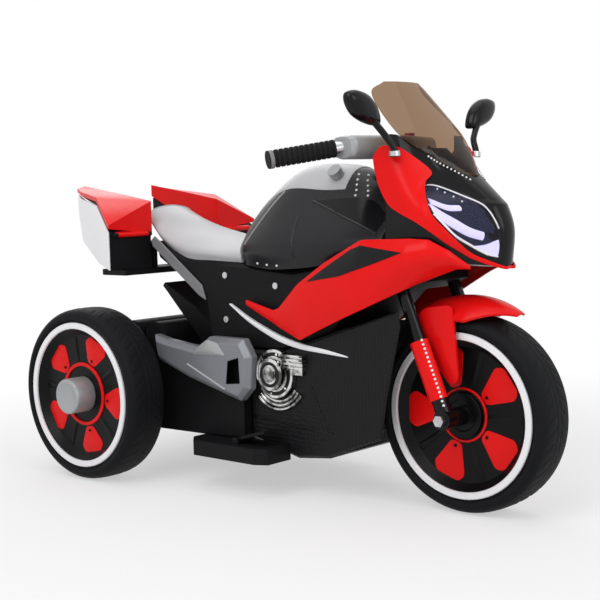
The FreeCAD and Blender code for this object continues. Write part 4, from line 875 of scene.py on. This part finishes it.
cowlRows = [[(-112, 112, 428), (-105, 112, 438), (-97, 110, 446)],
            [(-107, 113, 404), (-86, 112, 426), (-70, 106, 446)],
            [(-97, 113, 375), (-66, 110, 406), (-46, 84, 426)],
            [(-81, 112, 350), (-48, 108, 378), (-26, 67, 402)],
            [(-61, 111, 337), (-36, 107, 358), (-29, 80, 386)],
            [(-33, 108, 323), (-22, 103, 341), (-22, 90, 364)],
            [(-12, 96, 306), (-9, 95, 319), (-9, 93, 334)], [(9, 82, 287), (11, 82, 297), (12, 82, 307)],
            [(23, 67, 274), (25, 67, 280), (27, 67, 286)], [(37, 53, 262), (39, 53, 266), (40, 53, 270)],
            [(56, 34, 251), (58, 34, 254), (58, 34, 258)], [(77, 16, 243), (78, 16, 245), (78, 16, 248)],
            [(77, 0, 243), (78, 0, 245), (78, 0, 248)]]
cowlSize = {"rows": 145, "across": 13, "back": -2.4, "inward": -3.0, "turn": (4, 30)}
screenRows = [(394, [(17, 0), (14, 9), (8, 18)]), (428, [(-12, 0), (-17, 34), (-34, 61)]),
              (468, [(-46, 0), (-53, 52), (-76, 91)]), (534, [(-100, 0), (-108, 44), (-137, 76)]),
              (556, [(-119, 0), (-123, 30), (-134, 48)])]
screenSize = {"rows": 49, "across": 41, "wall": 3.0, "raise": 0.3}


def noseRings():
    # side-view sections of the nose from the right cheek over the middle to the left cheek
    sections = []
    for side, rows in ((-1, noseRows[::-1]), (1, noseRows)):
        for lowY, browY, points in rows:
            widths = [lowY] * 4 + [browY, browY, lowY]
            ring = [(frontX + u, side * y, z) for y, (u, z) in zip(widths, points)]
            face = through(np.array(ring[:5]), noseSize["face"])
            sections.append(np.concatenate([face, np.array(ring[5:])]))
    return through(np.array(sections), noseSize["across"])


lensOutline = rounded(lensShape["outline"], lensShape["round"], steps=6)
noseGrid = noseRings()
# The face of the right half, in rows from the middle out, before the lamps are sunk into it
noseFront = noseGrid[noseSize["across"] // 2::-1, :noseSize["face"]].copy()
hollow = insideBy(np.abs(noseGrid[..., 1:]), lensOutline)
noseGrid[..., 0] -= noseSize["recess"] * smooth(hollow, *noseSize["recessEdge"])


def onNose(flat, height):
    # surface function of the right half of the nose: (across, up) with the height counted forward
    y, z = flat[..., 0], flat[..., 1]
    widths = np.abs(noseFront[:, :, 1]).mean(1)
    return spread(readRows(noseFront, widths, np.abs(y), z, 0) + height, -y, z)


def noseCowl():
    # three lines from the mirror down to the chin, with a curve across them, thickened inward
    edges = np.array([[(frontX + u, -y, z) for u, y, z in row] for row in cowlRows])
    full = np.concatenate([edges, edges[-2::-1] * (1, -1, 1)])
    outer = patch(full, cowlSize["rows"], cowlSize["across"])
    side = smooth(np.abs(outer[..., 1]), *cowlSize["turn"]) * np.sign(outer[..., 1])
    return closedSheet(outer, outer + spread(cowlSize["back"], cowlSize["inward"] * side, 0))


def lensPlate(outline, size):
    return plateOn(outline, onNose, size["high"], size["low"], lensShape["rings"])


def lampParts():
    # light guide, reflector bowl and bright corner inside a lens
    deep = -noseSize["recess"] - guideDeep
    return merge(*[ribbonOn(low, high, onNose, top, deep, crown) for low, high, top, crown in lampGuides])


def lampTrim():
    # bright bead round the inside of a lens, a thicker one along its lower side, and a row of dots
    lines = [tube(onNose(through(line["points"], line["steps"]), line["height"]), line["radius"], sides=10)
             for line in (lampEdge, lampRim)]
    spots = onNose(np.array(lampDots["points"], float), lampDots["height"])
    return merge(*lines, beads(spots, lampDots["way"], lampDots["radius"], lampDots["tall"]))


def browStuds():
    line = through([(frontX + u, -y, z) for u, y, z in studRow["points"]], studRow["count"])
    way = np.array(studRow["way"])
    return beads(line + way * studRow["out"], way, studRow["radius"], studRow["tall"])


def windscreen():
    # curved sheet through level rows, each from the right edge over the middle to the left edge
    rows = []
    for z, half in screenRows:
        right = [(frontX + u, -y, z + screenSize["raise"]) for u, y in reversed(half)]
        rows.append(right + [(frontX + u, y, z + screenSize["raise"]) for u, y in half[1:]])
    grid = patch(np.array(rows), screenSize["rows"], screenSize["across"])
    return closedSheet(grid, grid - (screenSize["wall"], 0, 0))


bowlOutline = lensOutline * bowlShape["share"] + bowlShape["move"]
makePiece("headlight_shell", closedLoft(noseGrid), blackGloss, ["headlight_housing"])
makePiece("headlight_lens_pair", bothSides(lensPlate(lensOutline, lensShape)), lensClear,
          ["headlight_lenses"])
makePiece("headlight_bowls", bothSides(lensPlate(bowlOutline, bowlShape)), lampNavy)
makePiece("headlight_guides", bothSides(lampParts()), lampWhite)
makePiece("headlight_beads", bothSides(lampTrim()), whiteGloss)
makePiece("brow_studs", bothSides(browStuds()), whiteGloss)
makePiece("nose_cowl_skin", noseCowl(), redGloss, ["nose_cowl"], bevel=1.4, sharp=35)
makePiece("windscreen_sheet", windscreen(), smokedClear, ["windscreen"],
          bevel=0.8, sharp=35)
print("nose made")

# Mirrors, handlebar cover, mudguard and fork

mirror = {"head": (frontX - 85, -165, 502), "knee": (frontX - 74, -126, 462),
          "foot": (frontX - 64, -115, 428.3),
          "outline": [(-36, -22), (-6, -20), (24, -8), (40, 10), (40, 26), (20, 31), (-8, 24), (-30, 4)],
          "around": 48, "scale": [0.3, 0.58, 0.8, 0.93, 1.0, 1.0, 0.97, 0.9, 0.87],
          "offset": [13.5, 12.5, 9.5, 6, 0, -6, -8.6, -9.0, -6.6], "glassScale": [0.855, 0.855],
          "glassOffset": [-6.9, -8.2]}
armSize = {"steps": 40, "rise": (0, -2, 12), "tuck": 0.15, "radius": 5.6, "foot": 3.4, "footTo": 0.22,
           "head": 1.5, "headFrom": 0.75}
# Places above the mirror's foot, with radii
collar = [((0, 0, 0.4), 9.8), ((0, 0, 3), 9.8), ((0, -0.6, 9), 9.2)]
gripEnd = {"at": (frontX - 233.7, -220.2, 430.2), "way": (-60, -100.2, -17), "reach": [0.6, 7.5, 9.0],
           "radius": [15.4, 15.4, 13.0]}
coverSize = {"x": frontX - 135.7, "z": 447.23, "sweep": 34.0, "blunt": 0.012, "half": 120.0, "depth": 23.0,
             "height": 20.0, "power": 3.2, "rows": 61, "round": 40, "endDraw": 0.12, "endFrom": 0.93}
guard = {"radius": 198.0, "wall": 4.0, "half": 56.0, "tip": 11.0, "front": 60.0, "rear": 118.0, "drop": 36.0,
         "rows": 60, "across": 31, "taperFrom": 0.25, "taper": 1.2, "crown": 2.6, "dropTaper": 1.5,
         "inner": 0.95}
guardPanel = {"outline": [(-74, 150), (-58, 178), (0, 186), (6, 138), (12, 62), (-4, 52), (-26, 84),
                          (-60, 132)], "round": 12.0, "y": 52.0, "thick": 5.5, "crown": 3.0}
forkLine = {"rake": math.radians(22.0), "legY": 75.0, "radius": 17.4, "footRadius": 14.0, "footTop": 34.0,
            "low": 22.0, "high": 134.0, "count": 16, "turn": math.radians(48), "bead": 2.3, "tall": 1.8}


def steerPoint(ahead, y, up):
    # a point given ahead of the steering axis, across, and up along it from the front axle
    c, s = math.cos(forkLine["rake"]), math.sin(forkLine["rake"])
    return spread(frontX + ahead * c - up * s, y, ahead * s + up * c)


def mirrorRings(scale, offset):
    # a smooth outline swelled and drawn in along the bike
    y, z = through(mirror["outline"], mirror["around"], closed=True).T
    scale, offset = np.array(scale)[:, None], np.array(offset)[:, None]
    return closedLoft(spread(offset, -y * scale, z * scale) + mirror["head"])


def mirrorArm():
    # stalk from the foot to the head, thicker at both ends
    foot, knee, head = (np.array(mirror[key]) for key in ("foot", "knee", "head"))
    last = head - (head - knee) * armSize["tuck"]
    path = through([foot, foot + armSize["rise"], knee, last, head], armSize["steps"])
    share = np.linspace(0, 1, armSize["steps"])
    swell = armSize["foot"] * (1 - smooth(share, 0, armSize["footTo"]))
    return tube(path, armSize["radius"] + swell + armSize["head"] * smooth(share, armSize["headFrom"], 1))


def mirrorCollar():
    places, radii = zip(*collar)
    return tube(np.array(mirror["foot"]) + places, np.array(radii))


def gripCap():
    # short plug on the end of the bar, past the ribs
    way = unit(np.array(gripEnd["way"]))
    path = gripEnd["at"] + way * np.array(gripEnd["reach"])[:, None]
    return tube(path, np.array(gripEnd["radius"]), sides=32)


def handlebarCover():
    # superellipse section carried along the bent bar
    c = coverSize
    share = np.linspace(-1, 1, c["rows"])[:, None]
    turn = circle(c["round"])
    draw = 1 - c["endDraw"] * smooth(np.abs(share), c["endFrom"], 1.0)
    across, up = (np.sign(wave) * np.abs(wave) ** (2 / c["power"]) for wave in (np.cos(turn), np.sin(turn)))
    x = c["x"] - c["sweep"] * np.sqrt(share ** 2 + c["blunt"])
    return closedLoft(spread(x + draw * c["depth"] * across, c["half"] * share,
                             c["z"] + draw * c["height"] * up))


def mudguardArch():
    # crowned band over the tyre that narrows to a point in front
    g = guard
    angle = np.radians(np.linspace(g["front"], g["rear"], g["rows"]))[:, None]
    t = np.linspace(-1, 1, g["across"])
    tip = g["radius"] * math.cos(math.radians(g["front"]))
    start = tip * g["taperFrom"]
    ahead = np.clip((g["radius"] * np.cos(angle) - start) / (tip - start), 0, 1)
    half = g["half"] - (g["half"] - g["tip"]) * ahead ** g["taper"]
    radius = g["radius"] - g["drop"] * np.abs(t) ** g["crown"] * (half / g["half"]) ** g["dropTaper"]
    inner = radius - g["wall"]
    return closedSheet(spread(frontX + radius * np.cos(angle), half * t, radius * np.sin(angle)),
                       spread(frontX + inner * np.cos(angle), half * t * g["inner"], inner * np.sin(angle)))


def onGuardSide(flat, height):
    # surface function of a flat plane beside the right of the front tyre: (ahead, up)
    return spread(frontX + flat[..., 0], -guardPanel["y"] - height, flat[..., 1])


def mudguardPanel():
    # plate down the side of the tyre, crowned outward
    outline = rounded(guardPanel["outline"], guardPanel["round"], steps=6)
    return plateOn(outline, onGuardSide, guardPanel["thick"], 0.0, rings=8, crown=guardPanel["crown"])


def forkBeads():
    # dots up the outer front of each leg, on the narrower foot first
    f = forkLine
    up = np.linspace(f["low"], f["high"], f["count"])
    radius = np.where(up < f["footTop"], f["footRadius"], f["radius"])
    spots = steerPoint(radius * math.sin(f["turn"]), -f["legY"] - radius * math.cos(f["turn"]), up)
    return beads(spots, spots - steerPoint(0, -f["legY"], up), f["bead"], f["tall"])


pod = merge(mirrorRings(mirror["scale"], mirror["offset"]), mirrorArm())
glass = mirrorRings(mirror["glassScale"], mirror["glassOffset"])
parts = (pod, glass, mirrorCollar())
mirrorParts = {"right": parts, "left": [mirrored(part) for part in parts]}
for word, (podShape, glassShape, collarShape) in mirrorParts.items():
    body = word + "_mirror"
    makePiece("mirror_pod_" + word, podShape, blackGloss, ["mirror_" + word], sharp=45,
              body=body)
    makePiece("mirror_glass_" + word, glassShape, mirrorGlass, body=body)
    makePiece("mirror_collar_" + word, collarShape, steel, body=body)
makePiece("grip_caps", bothSides(gripCap()), midGrey, bevel=1.0, body="steering")
makePiece("handlebar_cover_skin", handlebarCover(), silverPaint, ["handlebar_cover"],
          sharp=45, body="steering")
makePiece("front_mudguard_skin", merge(mudguardArch(), bothSides(mudguardPanel())), redGloss,
          ["front_mudguard"], bevel=1.2, body="steering")
makePiece("fork_bead_lines", bothSides(forkBeads()), whiteGloss, body="steering")
print("steering made")

# Engine cover: bright rings, a black ring laid in the groove between them as painted shade, and ribs below;
# ridges on the covers beside it

engineSize = {"x": along(35), "z": 54.0, "face": 118.4, "step": 130.4, "groove": (32, 39),
              "stepGroove": (17, 23), "proud": 0.5, "sunk": 1.0}
ribSize = {"radii": [50, 57.5, 65], "y": 108.6, "from": 224, "to": 328, "thick": 3.2}
boltSize = {"count": 6, "first": 18, "circle": 36, "out": 0.4, "radius": 2.8, "tall": 2.2}
swingRelief = {"face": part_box("swingarm_covers")[0].y / mm, "sunk": -1.0,
               "facet": [(-152, 81), (-140, 91), (-108, 111), (-84, 106), (-64, 84)], "facetHigh": 0.8,
               "facetCrown": 3.0, "ridge": [(-165, 62), (-116, 42), (-66, 22)], "half": 2.4,
               "across": (0.42, 0.91), "ridgeHigh": 0.3, "ridgeCrown": 2.0}
bellyLines = {"y": 106.2, "radius": 1.7,
              "paths": [[(-40, -29), (50, -36), (150, -43)], [(101, 39), (119, -1), (137, -41)]]}


def onEngine(radius, angle, out):  # points round the cover's middle, at a distance out from the bike's own
    return spread(engineSize["x"] + radius * np.cos(angle), -out, engineSize["z"] + radius * np.sin(angle))


def grooveShadeRing(limits, out):
    # a thin ring laid in a groove of the cover; in black gloss it is painted shade for the recess
    (low, high), top, foot = limits, out + engineSize["proud"], out - engineSize["sunk"]
    profile = rounded([(low, foot), (low, top), (high, top), (high, foot)], radius=0.5, steps=3)
    return lathe(profile, (engineSize["x"], 0, engineSize["z"]), -1, steps=72)


def engineRibs():
    # arcs below the round cover
    angle = np.radians(np.linspace(ribSize["from"], ribSize["to"], 40))
    paths = [onEngine(radius, angle, ribSize["y"]) for radius in ribSize["radii"]]
    return merge(*[tube(path, ribSize["thick"], sides=12) for path in paths])


def engineBolts():
    angle = np.radians(np.arange(boltSize["count"]) * 360 / boltSize["count"] + boltSize["first"])
    spots = onEngine(boltSize["circle"], angle, engineSize["face"] + boltSize["out"])
    return beads(spots, (0, -1, 0), boltSize["radius"], boltSize["tall"])


def onSwingarm(flat, height):
    # surface function of the right swingarm cover: (along, up) on its flat outer face
    return spread(flat[..., 0], swingRelief["face"] - height, flat[..., 1])


def swingarmRelief():
    # a raised facet at the top and a ridge that falls to the front
    s = swingRelief
    outline = rounded(s["facet"], radius=5)
    facet = plateOn(outline, onSwingarm, s["facetHigh"], s["sunk"], rings=6, crown=s["facetCrown"])
    line = np.array(s["ridge"], float)
    side = np.array(s["across"]) * s["half"]
    ridge = ribbonOn(line - side, line + side, onSwingarm, s["ridgeHigh"], s["sunk"], s["ridgeCrown"],
                     steps=30)
    return merge(facet, ridge)


def bellyRidges():
    lines = [through(path, count=30) for path in bellyLines["paths"]]
    paths = [spread(line[:, 0], -bellyLines["y"], line[:, 1]) for line in lines]
    return merge(*[tube(path, bellyLines["radius"], sides=10) for path in paths])


grooves = merge(grooveShadeRing(engineSize["groove"], engineSize["face"]),
                grooveShadeRing(engineSize["stepGroove"], engineSize["step"]))
# real raised facet and ridge, given the lighter silverPaint over the cover's darker swingGrey as a painted
# highlight
makePiece("swingarm_relief_painted_highlight", bothSides(swingarmRelief()), silverPaint)
makePiece("belly_ridges", bothSides(bellyRidges()), blackGloss)
# black rings in the cover's grooves: painted shade of the recesses
makePiece("engine_groove_shade_rings", bothSides(grooves), blackGloss)
makePiece("engine_ribs", bothSides(merge(engineRibs(), engineBolts())), engineChrome)
print("engine made")

# Solids that keep their shape, with softer edges, and the rest with a finish only

softNodes = {"body_shell_right": (blackGrain, 2.0), "body_shell_left": (blackGrain, 2.0),
             "belly_fairing_right": (bellyBlack, 2.0), "belly_fairing_left": (bellyBlack, 2.0),
             "swingarm_covers": (swingGrey, 2.5), "footrests": (blackGrain, 3.0),
             "axle_housing": (blackGrain, 3.0), "rear_mudguard": (blackGrain, 1.2),
             "pannier_box_right": (blackGrain, 1.2), "pannier_box_left": (blackGrain, 1.2),
             "pannier_lid_right": (redGloss, 1.2), "pannier_lid_left": (redGloss, 1.2),
             "pannier_panels": (whiteGloss, 1.0), "pannier_rack": (blackGrain, 2.0),
             "subframe_rails": (midGrey, 1.5), "engine_covers": (engineChrome, 1.5),
             "dash_panel": (blackGrain, 2.0), "tank_cap": (silverPaint, 1.0),
             "accelerator_pedal": (blackGrain, 1.0)}
plainNodes = {"fork_strips": redGloss, "fork_leg_right": blackGloss, "fork_leg_left": blackGloss,
              "steering_stem": blackGrain, "handlebar": steel, "grip_right": gripBlack,
              "grip_left": gripBlack, "front_axle": steel, "rear_axle": steel, "horn_button": buttonRed,
              "body_screws": steel, "charging_socket": blackGrain, "direction_switch": blackGloss,
              "steering_bushes": bushWhite, "drive_units": blackGrain, "battery": blackGrain,
              "control_board": blackGrain}
for node, (material, bevel) in softNodes.items():
    softened(node, material, bevel)
for node, material in plainNodes.items():
    cadNodes[node].data.materials.clear()
    cadNodes[node].data.materials.append(material)
print("solids dressed")

# Stage: pale floor, white surround, soft lamps and the camera, in metres

stageSize = {"floor": 14.0, "floorColour": (0.86, 0.86, 0.87, 1), "white": (1, 1, 1, 1), "fill": 0.5,
             "near": 0.6, "far": 1.6, "glow": 0.5, "lookAt": (0, 0, 0.3)}
lamps = [("keyLamp", (0.6, -2.6, 2.6), 2.4, 46.0), ("frontLamp", (3.0, -0.6, 1.5), 1.8, 20.0),
         ("backLamp", (-2.4, 1.6, 2.4), 2.2, 22.0), ("topLamp", (0.2, 0.1, 3.2), 2.6, 15.0)]
cameraPlace = {"at": (1.5357, -1.7228, 0.5386), "turn": 41.956, "pitch": 4.898, "roll": -1.575,
               "lens": 74.85, "sensor": 36.0}


def seenDirectly(f):
    # 1 where a camera, glossy or see-through ray arrives
    names = ("Is Camera Ray", "Is Glossy Ray", "Is Transmission Ray")
    camera, glossy, clear = (f.node("ShaderNodeLightPath", output=name) for name in names)
    return f.node("ShaderNodeMath", {"operation": "MINIMUM"}, {0: camera + glossy + clear, 1: 1.0})


def floorFinish():
    # matt to the lamps; to the eye partly white near the bike, where its shadow shows, and all white far out
    f = Finish("floorPale")
    matt = f.node("ShaderNodeBsdfDiffuse", None, {"Color": stageSize["floorColour"]})
    glow = f.node("ShaderNodeEmission", None, {"Color": stageSize["white"], "Strength": 1.0})
    away = f.node("ShaderNodeVectorMath", {"operation": "LENGTH"}, {0: f.point()}, "Value")
    fade = f.steps(away, stageSize["near"], stageSize["far"], stageSize["glow"], 1.0)
    return f.output(f.between(seenDirectly(f) * fade, matt, glow))


def surround():
    # white to the eye, with a softer fill for the object
    w = Finish("studio", "worlds")
    fill, white = (w.node("ShaderNodeBackground", None, {"Color": stageSize["white"], "Strength": strength})
                   for strength in (stageSize["fill"], 1.0))
    return w.output(w.between(seenDirectly(w), fill, white), "ShaderNodeOutputWorld")


floor = bpy.data.meshes.new("floor")
reach = stageSize["floor"]
corners = [(-reach, -reach, 0), (reach, -reach, 0), (reach, reach, 0), (-reach, reach, 0)]
floor.from_pydata(corners, [], [(0, 1, 2, 3)])
floor.materials.append(floorFinish())
floorPiece = bpy.data.objects.new("floor", floor)
bpy.context.scene.collection.objects.link(floorPiece)
bpy.context.scene.world = surround()

for name, place, size, power in lamps:
    light = bpy.data.lights.new(name, "AREA")
    light.shape = "DISK"
    light.size = size
    light.energy = power
    lamp = bpy.data.objects.new(name, light)
    lamp.location = place
    lamp.rotation_euler = (Vector(stageSize["lookAt"]) - Vector(place)).to_track_quat("-Z", "Y").to_euler()
    bpy.context.scene.collection.objects.link(lamp)

turn, pitch, roll = (math.radians(cameraPlace[key]) for key in ("turn", "pitch", "roll"))
right = Vector((math.cos(turn), math.sin(turn), 0))
back = Vector((math.sin(turn) * math.cos(pitch), -math.cos(turn) * math.cos(pitch), math.sin(pitch)))
up = back.cross(right)
camera = bpy.data.objects.new("camera", bpy.data.cameras.new("camera"))
camera.data.sensor_width = cameraPlace["sensor"]
camera.data.lens = cameraPlace["lens"]
columns = (right * math.cos(roll) + up * math.sin(roll), up * math.cos(roll) - right * math.sin(roll), back)
camera.matrix_world = Matrix.Translation(cameraPlace["at"]) @ Matrix(columns).transposed().to_4x4()
bpy.context.scene.collection.objects.link(camera)
bpy.context.scene.camera = camera
bpy.context.scene.view_settings.view_transform = "Standard"
print("stage made")
